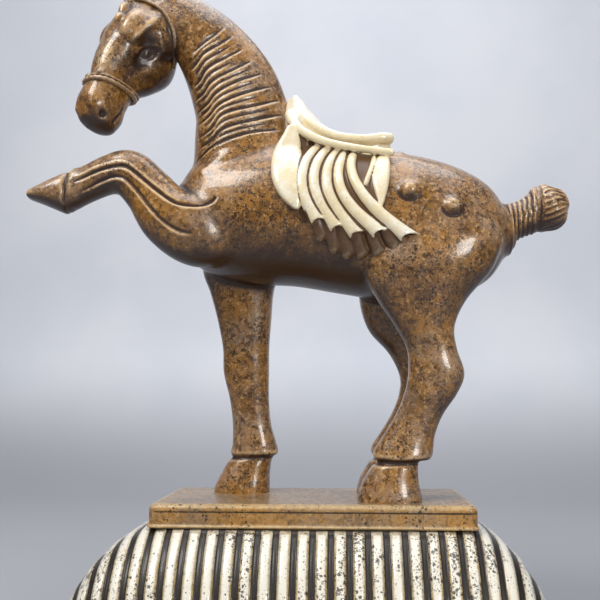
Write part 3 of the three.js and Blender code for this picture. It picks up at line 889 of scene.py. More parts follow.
    def build(self) -> bpy.types.Object:
        """Fuse the bodies, round their joints and carve them.

        Returns:
            The horse.
        """
        obj = fused("war_horse", self.parts(), self.voxel)
        sculpt = Sculpt(obj)
        # Joints of the body are rounded more than those of legs and head; the brows are evened once more
        p = sculpt.points
        body = smoothstep(p[:, 2], 30, 36) * smoothstep(80 - p[:, 2], 0, 12) * smoothstep(40 - p[:, 0], 0, 4)
        sculpt.fill(72, (0.3 + 0.7 * body)[:, None] * (p[:, 2] > 1.5)[:, None])
        sculpt.relax(3)
        local = head_local(sculpt.points)
        soft = sum(mound(local, (0.31, side, -0.1), (0.17, 0.1, 0.13)) for side in (-0.13, 0.13))
        sculpt.relax(36, np.clip(soft, 0, 1)[:, None])
        p = sculpt.points.copy()
        local = head_local(p)
        relief = sum(stroke.relief(p) for stroke in self.body_strokes())
        relief = relief + self.tail_relief(p) + self.leg_relief(p)
        on_head = (local[:, 0] > -0.05) & (np.abs(local[:, 1]) < 0.3) & (local[:, 2] > -0.6) & (p[:, 0] < -28)
        head = sum(stroke.relief(local[on_head]) for stroke in self.head_strokes())
        relief[on_head] += HEAD_LENGTH * (head + self.head_relief(local[on_head]))
        sculpt.push(relief)
        sculpt.relax(1)
        hollow = pooled(sculpt, 0.05, 0.3)
        # On the head: dark eye glaze with painted shade of the sockets, painted shade in the nostrils and before
        # the cheeks, painted highlights on the brows and face
        hollow[on_head] += self.head_pooling_and_painted_light(local[on_head])
        sculpt.write()
        store_hollow(obj.data, hollow)
        thinned(obj, self.faces_kept)
        return obj


def pooled(sculpt: Sculpt, fine: float, broad: float) -> Array:
    """Where glaze pools or wears off: small hollows and ridges, plus wide hollows.

    Args:
        sculpt: The carved mesh.
        fine: Hollowness over 2 to 3 mm that counts as 1.
        broad: Hollowness over about 10 mm that counts as 1.

    Returns:
        Positive values in hollows, negative ones on ridges.
    """
    near, far = sculpt.hollowness(8) / fine, sculpt.hollowness(60) / broad
    ridge, crease = np.minimum(near + 0.5, 0), np.maximum(near - 0.05, 0)
    return np.clip(0.45 * ridge + 0.8 * crease + 0.7 * np.maximum(far, 0), -0.75, 1.2)


def thinned(obj: bpy.types.Object, faces: int) -> None:
    """Bring a mesh down to a number of triangles where it has more.

    Args:
        obj: The object.
        faces: Most triangles that it keeps.
    """
    count = 2 * len(obj.data.polygons)
    if count <= faces:
        return
    thin = obj.modifiers.new("thin", "DECIMATE")
    thin.ratio = faces / count
    baked(obj)


# Saddle tables, in hundredths

SEAT = [
    [-4.4, 0, 66.5, 6.2, 3.6], [-3, 0, 66.8, 6.4, 5], [-0.6, 0, 65.2, 5, 5.8], [2.6, 0, 63.6, 3, 6.2],
    [7, 0, 62.2, 2.4, 6.2], [11, 0, 61.6, 2.5, 5.8], [13.6, 0, 61.6, 2.5, 4.8],
]
UPPER_ROLL = [
    [-3.1, 0, 72.2, 1.05, 1.1], [-2.4, 3.2, 70.3, 1, 1.05], [-1.1, 4.8, 67.4, 0.95, 1],
    [1.2, 5.7, 65.2, 0.85, 0.95], [4.6, 6.2, 63.6, 0.8, 0.85], [9.1, 6.3, 63, 0.8, 0.85],
    [12.4, 5.9, 63.3, 0.9, 0.95], [14, 5, 63.4, 0.95, 1],
]
LOWER_ROLL = [
    [-4.1, 3.6, 68.6, 1.1, 1.1], [-3.4, 6.1, 66.4, 1.05, 1.05], [-1.6, 7.2, 64.2, 0.85, 0.85],
    [2.4, 8, 62.1, 0.68, 0.7], [7.8, 8.2, 60.8, 0.64, 0.66], [14.2, 7.7, 60, 0.62, 0.66],
]
# Cloth under the folds, front flap and rear flap: z, front x, rear x
CLOTH = [
    [63.5, -3.2, 13], [60.5, -2.4, 13.4], [57, -2.4, 13.3], [53.6, -1.6, 13], [50.4, -0.4, 12.7],
    [48, 1.2, 12.6], [46.2, 3.6, 13.6], [45.2, 6, 14.4],
]
FRONT_FLAP = [
    [65.4, -4.4, -2.6], [63.6, -5.3, -2.2], [61.1, -6.6, -1.9], [57.3, -7, -1.6], [54.1, -6.6, -1.6],
    [51.4, -5.3, -1.7], [49.9, -3.9, -1.8], [49, -2.7, -2],
]
REAR_FLAP = [
    [59.6, 11.6, 13.6], [57.6, 10.9, 13.7], [55, 10.4, 13.5], [52.6, 10.7, 13.1],
    [50.8, 11.2, 12.6], [49.4, 11.7, 12.1],
]
# Hanging folds as top, knee and end in x, z
FOLDS = [
    [(1.5, 62.6), (-1.6, 54), (2, 46.4)],
    [(3.3, 62), (0.5, 53.4), (5.3, 45.2)],
    [(5.1, 61.5), (2.8, 52.8), (8.5, 44.2)],
    [(6.6, 61.2), (5.1, 52.6), (12.4, 44.4)],
    [(7.8, 60.9), (8.1, 52.8), (17, 43.7)],
]
# Short darker folds of the lining, hanging out under the ends of the others
LINING = [
    [(0.4, 49), (1.2, 46.2), (2.4, 44)],
    [(2.6, 48), (3.4, 44.6), (4.6, 41.9)],
    [(5, 47), (5.6, 43.8), (6.8, 41)],
    [(7.4, 46.8), (8, 43.6), (9.2, 41)],
    [(9.8, 46.6), (10.6, 43.8), (12, 41.4)],
    [(12.2, 46.4), (13.2, 44.2), (14.8, 42.2)],
]
SMALL_FOLD = [(11.2, 60.6), (10.6, 57.6), (9.2, 53.2)]
# Line below which the brown lining shows, as x, z
HEM = [[-7, 48], [1, 46.6], [3.5, 45.7], [9, 43.9], [18, 42.9]]


@dataclass
class Saddle:
    """Saddle: seat, two rolls, smooth flaps and a cloth with hanging folds that end in open mouths."""

    voxel: float = 0.00075
    faces_kept: int = 190000
    slant: float = 0.7
    level: float = 0.6

    def lie(self, x: Array, z: Array) -> Array:
        """How far out the cloth lies: on the body's side, or in front at 7.4 - 0.1 (z - 55) if more."""
        front = (7.4 - 0.1 * (z - 55)) * smoothstep(z, 50, 56) * smoothstep(-x, -0.8, 0.8)
        return np.maximum(flank(x, z), front)

    def sheet(self, table: Path, flip: int, lift: float) -> Surface:
        """Thick panel laid over the horse's side.

        Args:
            table: Rows of z, front x and rear x.
            flip: Side of the horse.
            lift: How far it stands off the body.

        Returns:
            The closed surface.
        """
        rows = spline(np.array(table, float), np.linspace(0, 1, 60))
        f = np.linspace(0, 1, 40)[None]
        z = rows[:, :1] + 0 * f
        x = rows[:, 1:2] + (rows[:, 2:3] - rows[:, 1:2]) * f
        edge = 1 - 0.45 * np.abs(2 * f - 1) ** 6
        out = flip * (self.lie(x, z) + lift * edge)
        inner = flip * (flank(x, z) - 2)
        front = np.stack([x, out, z], axis=-1)
        back = np.stack([x, inner, z], axis=-1)[:, ::-1]
        return skin(np.concatenate([front, back], axis=1))

    def fold(
        self, places: Path, flip: int, start: float, flare: float, lift: float, mouth: bool = False,
    ) -> Surface:
        """One hanging fold: a tube down the horse's side, flared at its end.

        Its half width is start + flare (f + 2 f^5) / 3 at the share f of its length. A mouth is cut
        aslant, the outer wall shorter than the wall on the body so that its hollow shows, and turned
        nearly level, its front side shorter than its rear side.

        Args:
            places: Top, knee and end in x, z.
            flip: Side of the horse.
            start: Half width at its top.
            flare: What the half width gains at its end.
            lift: How far its middle stands off the body.
            mouth: Whether it ends open.

        Returns:
            The closed surface.
        """
        top, knee, end = (np.array(place) for place in places)
        f = np.linspace(0, 1, 40)[:, None]
        line = (1 - f) ** 2 * top + f * (1 - f) * (4 * knee - top - end) + f * f * end
        swell = start + flare * (f[:, 0] + 2 * f[:, 0] ** 5) / 3
        out = flip * (flank(line[:, 0], line[:, 1]) + lift)
        rows = np.column_stack([line[:, 0], out, line[:, 1], 0.62 * swell + 0.35, swell])
        tangent = np.gradient(rows[:, :3], axis=0)
        tangent /= np.linalg.norm(tangent, axis=1, keepdims=True)
        out = np.broadcast_to(np.array([0, flip, 0.0]), tangent.shape)
        wide = np.cross(tangent, out)
        wide /= np.linalg.norm(wide, axis=1, keepdims=True)
        angle = np.arange(24) / 24 * TAU
        ring = (np.cos(angle)[None, :, None] * wide[:, None] * rows[:, None, 4:5]
                + np.sin(angle)[None, :, None] * out[:, None] * rows[:, None, 3:4])
        cut = flip * self.level * np.cos(angle) - self.slant * np.sin(angle)
        slant = cut[None, :, None] * tangent[:, None] * (f ** 8)[:, None] * swell[-1]
        if not mouth:
            dome = np.sqrt(1 - np.clip((f - 0.86) / 0.14, 0, 0.985) ** 2)[:, None]
            return skin(rows[:, None, :3] + ring * dome)
        outer = rows[:, None, :3] + ring + slant
        inner = rows[-11:, None, :3] + 0.72 * ring[-11:] + slant[-11:]
        return skin(np.concatenate([outer, inner[::-1]]))

    def parts(self) -> list[Surface]:
        """All overlapping bodies of the saddle.

        Returns:
            Closed surfaces, in the figure's hundredths.
        """
        parts = [Loft(SEAT, across=ALONG, sides=56, steps=60, square=2.5, dome=0.3).build()]
        for flip in (-1, 1):
            for roll in (UPPER_ROLL, LOWER_ROLL):
                parts.append(Loft(mirrored(roll, flip), side=UPRIGHT, sides=28, steps=60).build())
            parts.append(ball((-2.5, flip * 4.1, 67.3), (1.35, 1.6, 2.1)))
            parts.append(self.sheet(CLOTH, flip, 0.55))
            parts.append(self.sheet(FRONT_FLAP, flip, 1.45))
            parts.append(self.sheet(REAR_FLAP, flip, 1.2))
            parts.append(self.fold(SMALL_FOLD, flip, 0.34, 0.12, 0.6))
            parts.extend(self.fold(places, flip, 0.74, 0.82, 0.75, True) for places in FOLDS)
            parts.extend(self.fold(places, flip, 1.1, 0.35, 0.3) for places in LINING)
        return parts

    def pooling(self, sculpt: Sculpt) -> Array:
        """Brown of the saddle: between and under the folds, below the hem and in small hollows.

        Args:
            sculpt: The fused saddle.

        Returns:
            How hollow each vertex counts as; the ivory parts are at 0 or less.
        """
        x, y, z = sculpt.points[:, 0], np.abs(sculpt.points[:, 1]), sculpt.points[:, 2]
        side = flank(x, z)
        hem = spline(np.array(HEM, float), np.linspace(0, 1, 30))
        roll = np.array(LOWER_ROLL)
        drop = np.interp(x, hem[:, 0], hem[:, 1]) - z
        under = smoothstep(1.75 - (y - side), 0, 0.3) * smoothstep(drop, -2.4, -1.4)
        lining = np.maximum(smoothstep(drop, -0.2, 1.4), under)
        low = 0.75 - y + np.where(z > 59.5, self.lie(x, z), side)
        between_folds = smoothstep(low, -0.1, 0.3) * (z < np.interp(x, roll[:, 0], roll[:, 2] - 0.6))
        hollow = np.maximum(pooled(sculpt, 0.05, 0.35), -0.3) + 0.8 * between_folds
        hollow += 0.16 * smoothstep(z, 54, 60) * (z < 61.5)
        flap = smoothstep(-x, 2.4, 3.0) * smoothstep(65 - z, 0, 1)
        seat = smoothstep(z + 0.4 * x, 63.4, 65)
        hollow = hollow * (1 - 0.85 * flap) * (1 - 0.7 * seat)
        return hollow * (1 - 0.5 * lining) + 0.8 * lining

    def build(self) -> bpy.types.Object:
        """Fuse the saddle and mark its brown parts.

        Returns:
            The saddle.
        """
        obj = fused("saddle", self.parts(), self.voxel)
        sculpt = Sculpt(obj)
        sculpt.fill(6)
        sculpt.relax(3)
        hollow = self.pooling(sculpt)
        sculpt.write()
        store_hollow(obj.data, hollow)
        thinned(obj, self.faces_kept)
        return obj


# Cord behind the cheek, in shares of the head's length
CHEEK_CORD = [
    (0.1, 0, -0.02), (0.09, 0.1, -0.055), (0.088, 0.15, -0.115), (0.1, 0.19, -0.16), (0.135, 0.228, -0.213),
    (0.205, 0.256, -0.286), (0.262, 0.245, -0.34), (0.29, 0.18, -0.41), (0.33, 0.12, -0.47),
]


@dataclass
class Bridle:
    """Twisted noseband with its knots, and the cord behind the cheeks."""

    cord: float = 0.38
    twist: float = 26.0

    def loop(self, start: float, end: float, offset: float) -> Array:
        """Ring round a slanted section of the head.

        Args:
            start: Place along the head at the face line.
            end: Place along the head at the throat line.
            offset: Distance outside the head's skin, in shares of its length.

        Returns:
            Points round the head, in the figure's hundredths.
        """
        rows = np.array(HEAD, float)
        angle = np.linspace(0, TAU, 121)[:-1]
        along = start + (end - start) * (0.5 - 0.5 * np.cos(angle))
        top, low, wide = (np.interp(along, rows[:, 0], rows[:, k]) for k in (1, 2, 3))
        c, s = np.cos(angle), np.sin(angle)
        radius = superellipse(c, s, HEAD_SQUARE)
        tall = (top - low) / 2 + offset
        side = (wide + offset) * (1 + HEAD_KEEL * c * radius)
        local = np.stack([along, side * s * radius, (top + low) / 2 + tall * c * radius], axis=1)
        return local * HEAD_LENGTH @ head_axes().T + HEAD_TOP

    def rope(self, line: Array, size: float, closed: bool) -> Surface:
        """Cord of two twisted strands along a line.

        Args:
            line: Points of its middle.
            size: Its half thickness.
            closed: Whether it runs back to its start.

        Returns:
            The closed surface.
        """
        if closed:
            line = np.concatenate([line, line[:2]])
        tangent = np.gradient(line, axis=0)
        tangent /= np.linalg.norm(tangent, axis=1, keepdims=True)
        away = line - line.mean(0)
        up = away - (away * tangent).sum(1, keepdims=True) * tangent
        up /= np.linalg.norm(up, axis=1, keepdims=True)
        side = np.cross(tangent, up)
        angle = np.arange(20) / 20 * TAU
        turn = self.twist * np.linspace(0, TAU, len(line))[:, None] / 2
        scale = size * (1 - 0.22 * np.abs(np.sin(angle[None] - turn)))
        ring = (np.cos(angle)[None, :, None] * up[:, None] + np.sin(angle)[None, :, None] * side[:, None])
        return skin(line[:, None] + scale[..., None] * ring)

    def build(self) -> bpy.types.Object:
        """Sweep the cords and set the knots.

        Returns:
            The bridle.
        """
        matrix = head_axes() * HEAD_LENGTH
        parts = [self.rope(self.loop(0.752, 0.678, 0.007), 1.3 * self.cord, True)]
        parts.append(self.rope(self.loop(0.718, 0.648, 0.004), 0.75 * self.cord, True))
        knots = (([0.7, 0.062, -0.045], [0.022, 0.026, 0.018]), ([0.685, 0.09, -0.29], [0.02, 0.018, 0.024]))
        for flip in (-1, 1):
            line = spline(np.array(mirrored(CHEEK_CORD, flip)), np.linspace(0, 1, 90))
            parts.append(self.rope(line @ matrix.T + HEAD_TOP, self.cord, False))
            for place, half in knots:
                knot = ball([place[0], flip * place[1], place[2]], half, 0.3)
                parts.append(knot.moved(matrix, HEAD_TOP))
        return to_object("bridle", to_metres(joined(parts)))


def oblong(width: Array, depth: Array, corner: Array, z: Array, sides: int = 160) -> Array:
    """Rings of a rounded oblong at each height.

    Args:
        width: Width of each ring.
        depth: Depth of each ring.
        corner: Corner radius of each ring.
        z: Height of each ring.
        sides: Points round a ring, a fourth of them on each corner.

    Returns:
        Array of ring, point, coordinate.
    """
    per = sides // 4
    quarter = np.repeat(np.arange(4), per)
    f = np.tile(np.linspace(0, 1, per), 4)
    sx, sy = np.array([1, -1, -1, 1])[quarter], np.array([1, 1, -1, -1])[quarter]
    angle = (quarter + f) * math.pi / 2
    x = sx * (width / 2 - corner)[:, None] + corner[:, None] * np.cos(angle)
    y = sy * (depth / 2 - corner)[:, None] + corner[:, None] * np.sin(angle)
    return np.stack([x, y, np.broadcast_to(z[:, None], x.shape)], axis=-1)


@dataclass
class Plate:
    """Oblong plate cast with the horse: lip, upright edge, rounded upper edge and flat top."""

    width: float = 0.234
    depth: float = 0.116
    thickness: float = 0.0165
    corner: float = 0.007
    lip: float = 0.002
    bevel: float = 0.004
    seam: float = 0.0003
    sides: int = 240
    flat: int = 5

    def profile(self) -> tuple[Array, Array]:
        """Edge of the plate, from its underside to the middle of its top.

        The lip is a half wave, over it come an upright band, a quarter circle and the flat top.

        Returns:
            Heights above the underside, and how far inside the outline each of them lies.
        """
        lip, bend = np.linspace(0, math.pi, 9), np.linspace(0, math.pi / 2, 12)[1:]
        z = np.concatenate([
            [0, 0.0002], self.lip * (0.15 + 0.35 * (1 - np.cos(lip))),
            np.linspace(0.0032, self.thickness - self.bevel, 14),
            self.thickness - self.bevel * (1 - np.sin(bend)), np.full(self.flat, self.thickness),
        ])
        inset = np.concatenate([
            [0.0008, 0.0004], 0.0002 + 0.0004 * (1 - np.sin(lip)), np.full(14, 0.0013),
            0.0013 + self.bevel * (1 - np.cos(bend)), [0.0075, 0.015, 0.03, 0.045, 0.0555],
        ])
        return z, inset

    def build(self) -> bpy.types.Object:
        """Stack the rings of the plate, and mark its flat top, worn edges, the broken dark line and a painted
        highlight on the lip at its foot.

        Returns:
            The plate.
        """
        z, inset = self.profile()
        width, depth = self.width - 2 * inset, self.depth - 2 * inset
        corner = np.minimum(np.maximum(self.corner - 0.5 * inset, 0.0012), depth / 2 - 1e-4)
        rings = oblong(width, depth, corner, z + PEDESTAL_TOP + self.seam, self.sides)
        rings[..., 0] += PLATE_SHIFT
        obj = to_object("plate", skin(rings))
        x, y, height = rings.reshape(-1, 3).T
        edge = smoothstep(height, PLATE_TOP - 0.0045, PLATE_TOP - 0.002)
        line = bell(height, PLATE_TOP - 0.0052, 0.0007)
        broken = 0.5 + 0.5 * np.sin(210 * x + 3 * np.sin(97 * x + 60 * y))
        # Painted highlight: the lip at the plate's foot is made pale
        tone = np.where(height > PEDESTAL_TOP + 0.003, -0.1 - 0.35 * edge + 1.1 * line * broken, -0.5)
        tone = np.where(np.repeat(np.arange(len(z)) >= len(z) - self.flat, self.sides), 0.12, tone)
        store_hollow(obj.data, np.concatenate([[0.3], tone, [0.25]]))
        return obj


@dataclass
class Pedestal:
    """Cushion-shaped pedestal with rounded ribs, on a plain foot.

    A drop is the share of the height below the top: 0 at the plate, 1 at the foot.
    """

    plate: Plate = field(default_factory=Plate)
    width: float = 0.346
    depth: float = 0.196
    margin: float = 0.002
    foot_height: float = 0.009
    foot_inset: float = 0.007
    foot_corner: float = 0.03
    rib_pitch: float = 0.0126
    rib_share: float = 0.6
    groove_depth: float = 0.0026
    fine_line: float = 0.1
    plan_power: float = 5.0
    widest: float = 0.93
    turn_in: float = 0.05
    shoulder_power: float = 0.7
    per_rib: int = 14
    levels: int = 40

    def outward(self, drop: Array) -> Array:
        """Share of the way out: a full-shouldered quarter wave, then slightly back in above the foot.

        Args:
            drop: Shares of the height below the top.

        Returns:
            0 at the top's edge, 1 where the pedestal is widest.
        """
        back = np.maximum(0, drop - self.widest) / (1 - self.widest)
        wave = np.sin(0.5 * math.pi * np.minimum(drop / self.widest, 1) ** self.shoulder_power)
        return wave - self.turn_in * back

    def reach(self, x: Array, drop: Array) -> Array:
        """Reach towards the end that x lies on, at a drop."""
        top = self.plate.width / 2 + self.margin + np.sign(x) * PLATE_SHIFT
        return top + (self.width / 2 - top) * self.outward(drop)

    def half_depth(self, drop: Array) -> Array:
        """Half depth at a drop."""
        top = self.plate.depth / 2 + self.margin
        return top + (self.depth / 2 - top) * self.outward(drop)

    def ribs(self) -> tuple[Array, Array, Array]:
        """Sections across the ribs.

        With r the share of the way from a rib's crest to its edge, the rib sinks by
        1 - sqrt(1 - 0.96 r^2.4). The groove is flat, with a fine raised line in its middle. Past the
        last groove the ends are plain.

        Returns:
            x of each section, share of the groove's depth that it is sunk by, and how hollow it is
            for the glaze.
        """
        reach = self.width / 2
        outermost = math.floor(reach / self.rib_pitch - 0.7)
        last = (outermost + 0.5) * self.rib_pitch
        inner = np.linspace(-last, last, (2 * outermost + 1) * self.per_rib + 1)
        end = last + (reach - last) * np.sin(np.linspace(0, math.pi / 2, 12))[1:-1]
        x = np.concatenate([-end[::-1], inner, end])
        phase = np.abs((x / self.rib_pitch + 0.5) % 1 - 0.5) * 2
        rib = np.clip(phase / self.rib_share, 0, 1)
        on_rib, on_line, past = phase < self.rib_share, np.abs(phase - 1) < self.fine_line, np.abs(x) > last
        outer = np.clip((np.abs(x) - last) / (reach - last), 0, 1)
        sunk = np.where(on_rib, 0.75 * (1 - np.sqrt(1 - 0.96 * rib ** 2.4)), np.where(on_line, 0.86, 1.0))
        sunk = np.where(past, np.clip(1 - outer * 5, 0, 1), sunk)
        tone = np.where(on_rib, -0.9 + 1.2 * rib ** 3, np.where(on_line, 0.72, 1.0))
        return x, sunk, np.where(past, -0.5, tone)

    def cushion(self) -> tuple[Surface, Array]:
        """Sections from the ribs' tops round to their feet, and the hollow of each vertex.

        Half the depth is half_depth(drop) (1 - s^p)^(1/p), with s the section's share of the reach and
        p the plan's power, less the groove.

        Returns:
            The closed surface, and one number for each of its points.
        """
        x, sunk, rib_tone = self.ribs()
        samples = self.widest * np.linspace(0, 1, 3000) ** 2
        front_end, rear_end = (self.reach(np.array(sign), samples) for sign in (-1.0, 1.0))
        front_top, rear_top = (np.interp(np.abs(x), end, samples, left=0.0) for end in (front_end, rear_end))
        top = np.where(x < 0, front_top, rear_top)[:, None]
        f = np.linspace(0, 1, self.levels - 4)[None] ** 1.8
        turned = self.widest + (1 - self.widest) * np.broadcast_to(np.array([0.25, 0.5, 0.75, 1.0]), (len(x), 4))
        drop = np.concatenate([top + (self.widest - top) * f, turned], axis=1)
        share = np.minimum(np.abs(x)[:, None] / self.reach(x[:, None], drop), 1)
        depth = self.half_depth(drop) * (1 - share ** self.plan_power) ** (1 / self.plan_power)
        # Under the plate the ribs round over; in the nested arches of the ends they run out at their tops
        arched = top > 0
        rounded = np.where(arched, 0, 0.9 * (1 - np.sqrt(1 - np.clip(1 - drop / 0.075, 0, 1) ** 2)))
        sunk = sunk[:, None] * np.where(arched, 1, smoothstep(drop, 0, 0.02))
        groove = self.groove_depth * np.maximum(sunk, rounded)
        depth = np.maximum(depth - groove, 0.0004)
        z = PEDESTAL_TOP - drop * (PEDESTAL_TOP - self.foot_height)
        z = z - np.where(arched, groove * np.exp(-((drop - top) / 0.03)), 0)
        wide = np.broadcast_to(x[:, None], depth.shape)
        front = np.stack([wide, -depth, z], axis=-1)
        back = np.stack([wide, depth, z], axis=-1)[:, ::-1]
        tone = np.maximum(rib_tone[:, None], np.where(rounded > 0.3, 1.6 * rounded - 0.4, -1))
        tone = np.concatenate([tone, tone[:, ::-1]], axis=1)
        return skin(np.concatenate([front, back], axis=1)), np.concatenate([[0], tone.ravel(), [0]])

    def foot(self) -> Surface:
        """Low plain foot under the ribs.

        Returns:
            The closed surface.
        """
        z = np.array([0, 0.0006, self.foot_height - 0.001, self.foot_height, self.foot_height + 0.001])
        inset = np.array([0.0006, 0, 0, 0.0006, 0.004]) + self.foot_inset
        return skin(oblong(self.width - 2 * inset, self.depth - 2 * inset, np.full(5, self.foot_corner), z))

    def build(self) -> bpy.types.Object:
        """Join the cushion and the foot.

        Returns:
            The pedestal.
        """
        (cushion, tone), foot = self.cushion(), self.foot()
        obj = to_object("ribbed_pedestal_skin", joined([cushion, foot]))
        store_hollow(obj.data, np.concatenate([tone, np.full(len(foot.points), 0.4)]))
        return obj


# Finishes

Socket = bpy.types.NodeSocket


class Graph:
    """Nodes of one tree, each made with its settings and its sockets set or linked."""

    def __init__(self, tree: bpy.types.NodeTree) -> None:
        """Work on an empty tree."""
        self.tree = tree

    def feed(self, socket: Socket, value: object) -> None:
        """Link an input or set its value.

        Args:
            socket: Input of a node.
            value: Output of another node, or a plain value.
        """
        if isinstance(value, Socket):
            self.tree.links.new(value, socket)
        else:
            socket.default_value = value

    def add(
        self, kind: str, sockets: dict[str | int, object] | None = None, **settings: object,
    ) -> bpy.types.Node:
        """New node.

        Args:
            kind: Node type without its ShaderNode prefix.
            sockets: Value or source of each input, by name or number.
            **settings: Properties of the node.

        Returns:
            The node.
        """
        node = self.tree.nodes.new("ShaderNode" + kind)
        for key, value in settings.items():
            setattr(node, key, value)
        for key, value in (sockets or {}).items():
            self.feed(node.inputs[key], value)
        return node

    def math(self, operation: str, *values: object, clamp: bool = False) -> Socket:
        """Result of a Math node."""
        return self.add("Math", dict(enumerate(values)), operation=operation, use_clamp=clamp).outputs[0]

    def ramp(self, value: Socket, low: float, high: float, start: float = 0.0, end: float = 1.0) -> Socket:
        """Smooth step of a value from start to end."""
        sockets = {"Value": value, "From Min": low, "From Max": high, "To Min": start, "To Max": end}
        return self.add("MapRange", sockets, interpolation_type="SMOOTHSTEP").outputs[0]

    def mix(self, factor: Socket | float, a: object, b: object) -> Socket:
        """Colour between a, at factor 0, and b."""
        return self.add("Mix", {0: factor, 6: a, 7: b}, data_type="RGBA").outputs[2]

    def noise(self, vector: Socket, scale: float | Socket, detail: float = 3.0, rough: float = 0.5) -> Socket:
        """Noise value at a place."""
        sockets = {"Vector": vector, "Scale": scale, "Detail": detail, "Roughness": rough}
        return self.add("TexNoise", sockets).outputs["Fac"]


def group(
    name: str, inputs: dict[str, str], outputs: dict[str, str],
) -> tuple[bpy.types.NodeTree, Graph, dict[str, Socket], dict[str, Socket]]:
    """Empty node group with its sockets.

    Args:
        name: Name of the group.
        inputs: Socket type of each input.
        outputs: Socket type of each output.

    Returns:
        The tree, its graph, its input sockets by name and its output node's sockets by name.
    """
    tree = bpy.data.node_groups.new(name, "ShaderNodeTree")
    for direction, sockets in (("INPUT", inputs), ("OUTPUT", outputs)):
        for key, kind in sockets.items():
            tree.interface.new_socket(name=key, in_out=direction, socket_type="NodeSocket" + kind)
    start, end = tree.nodes.new("NodeGroupInput"), tree.nodes.new("NodeGroupOutput")
    sources = {key: start.outputs[key] for key in inputs}
    return tree, Graph(tree), sources, {key: end.inputs[key] for key in outputs}


def speckle_group() -> bpy.types.NodeTree:
    """Dark iron specks of uneven size with ragged blotches, thicker in some patches.

    Returns:
        Group with a Vector, a Density and a Scale in, and a Mask out.
    """
    tree, g, start, end = group(
        "glaze_speckle", {"Vector": "Vector", "Density": "Float", "Scale": "Float"}, {"Mask": "Float"})
    vector, density = start["Vector"], start["Density"]
    ripple = g.add("TexNoise", {"Vector": vector, "Scale": 700.0, "Detail": 3.0}).outputs["Color"]
    bend = g.add("VectorMath", {0: ripple, 1: (0.0022, 0.0022, 0.0022)}, operation="MULTIPLY").outputs[0]
    place = g.add("VectorMath", {0: vector, 1: bend}, operation="ADD").outputs[0]
    patches = g.ramp(g.noise(vector, 30.0, 3.0), 0.38, 0.64, 0.45, 1.3)
    ragged = g.ramp(g.noise(vector, 260.0, 7.0, 0.8), 0.58, 0.68)
    blotch = g.math("MULTIPLY", ragged, g.ramp(patches, 0.6, 1.2))
    blotch = g.math("MULTIPLY", blotch, density, clamp=True)
    mask = g.math("MULTIPLY", blotch, 0.8)
    for share, size in ((1.0, 0.36), (2.1, 0.34)):
        cells = g.add("TexVoronoi", {"Vector": place, "Scale": g.math("MULTIPLY", start["Scale"], share)})
        chance = g.add("SeparateColor", {0: cells.outputs["Color"]}).outputs[0]
        reach = g.math("MULTIPLY", g.math("MULTIPLY", g.ramp(chance, 0.3, 1.0), size), patches)
        gap = g.math("SUBTRACT", g.math("MULTIPLY", reach, density), cells.outputs["Distance"])
        mask = g.math("MAXIMUM", mask, g.ramp(gap, -0.03, 0.1))
    g.feed(end["Mask"], mask)
    return tree


def pooling_and_painted_light_group() -> bpy.types.NodeTree:
    """Glaze worn thin on ridges and pooled dark in hollows, with painted shade on under-surfaces and a painted
    sky reflection on upward faces, mottled between.

    Returns:
        Group with a Vector, the Hollow and Facing values, the Mottle strength and four colours in,
        and the colour, the pooling with its painted shade and the wear with its painted highlights out.
    """
    tree, g, start, end = group(
        "glaze_pooling_and_painted_light",
        {"Vector": "Vector", "Hollow": "Float", "Facing": "Float", "Mottle": "Float",
         "Body": "Color", "Warm": "Color", "Deep": "Color", "Pale": "Color"},
        {"Color": "Color", "Pool and shade": "Float", "Wear and highlight": "Float"})
    vector, mottle = start["Vector"], start["Mottle"]
    broad = g.noise(vector, 16.0, 3.0, 0.6)
    middle = g.noise(vector, 75.0, 4.0, 0.65)
    fine = g.noise(vector, 300.0, 6.0, 0.75)
    # Hollow and ridge, with ragged edges
    wander = g.math("MULTIPLY", g.math("SUBTRACT", fine, 0.5), g.math("ADD", mottle, 0.3))
    drift = g.math("ADD", start["Hollow"], wander)
    pool_and_shade = g.ramp(drift, 0.12, 0.8)
    wear_and_highlight = g.ramp(drift, -0.12, -0.85)
    # Body and warm colour in drifts; painted sky reflection: the body colour more on upward faces
    blend = g.math("ADD", g.math("MULTIPLY", broad, 0.5), g.math("MULTIPLY", middle, 0.33))
    blend = g.math("ADD", blend, g.math("MULTIPLY", fine, 0.17))
    blend = g.math("SUBTRACT", blend, g.math("MULTIPLY", start["Facing"], 0.1))
    colour = g.mix(g.ramp(blend, 0.38, 0.55), start["Body"], start["Warm"])
    # Dusky clouds, then a net of dark veins, then small light flecks
    dusk = g.ramp(g.noise(vector, 24.0, 6.0, 0.7), 0.46, 0.64, 0.0, 0.6)
    colour = g.mix(g.math("MULTIPLY", dusk, mottle), colour, start["Deep"])
    veins = g.ramp(g.noise(vector, 170.0, 9.0, 0.85), 0.48, 0.575)
    colour = g.mix(g.math("MULTIPLY", veins, mottle), colour, start["Deep"])
    fleck = g.math("MULTIPLY", g.ramp(g.noise(vector, 330.0, 5.0, 0.7), 0.53, 0.62), mottle)
    light = g.mix(0.5, start["Pale"], start["Warm"])
    colour = g.mix(g.math("MULTIPLY", fleck, 0.95), colour, light)
    # Paler on worn ridges, and painted highlights where the hollow attribute carries them
    colour = g.mix(wear_and_highlight, colour, start["Pale"])
    # Painted shade: the deep colour on faces that look down
    ragged = g.math("ADD", start["Facing"], g.math("MULTIPLY", g.math("SUBTRACT", middle, 0.5), 0.8))
    strength = g.math("MULTIPLY", mottle, 1.25)
    under = g.math("MULTIPLY", g.ramp(ragged, 0.02, -0.75), strength, clamp=True)
    colour = g.mix(g.math("MAXIMUM", pool_and_shade, under), colour, start["Deep"])
    g.feed(end["Color"], colour)
    g.feed(end["Pool and shade"], pool_and_shade)
    g.feed(end["Wear and highlight"], wear_and_highlight)
    return tree


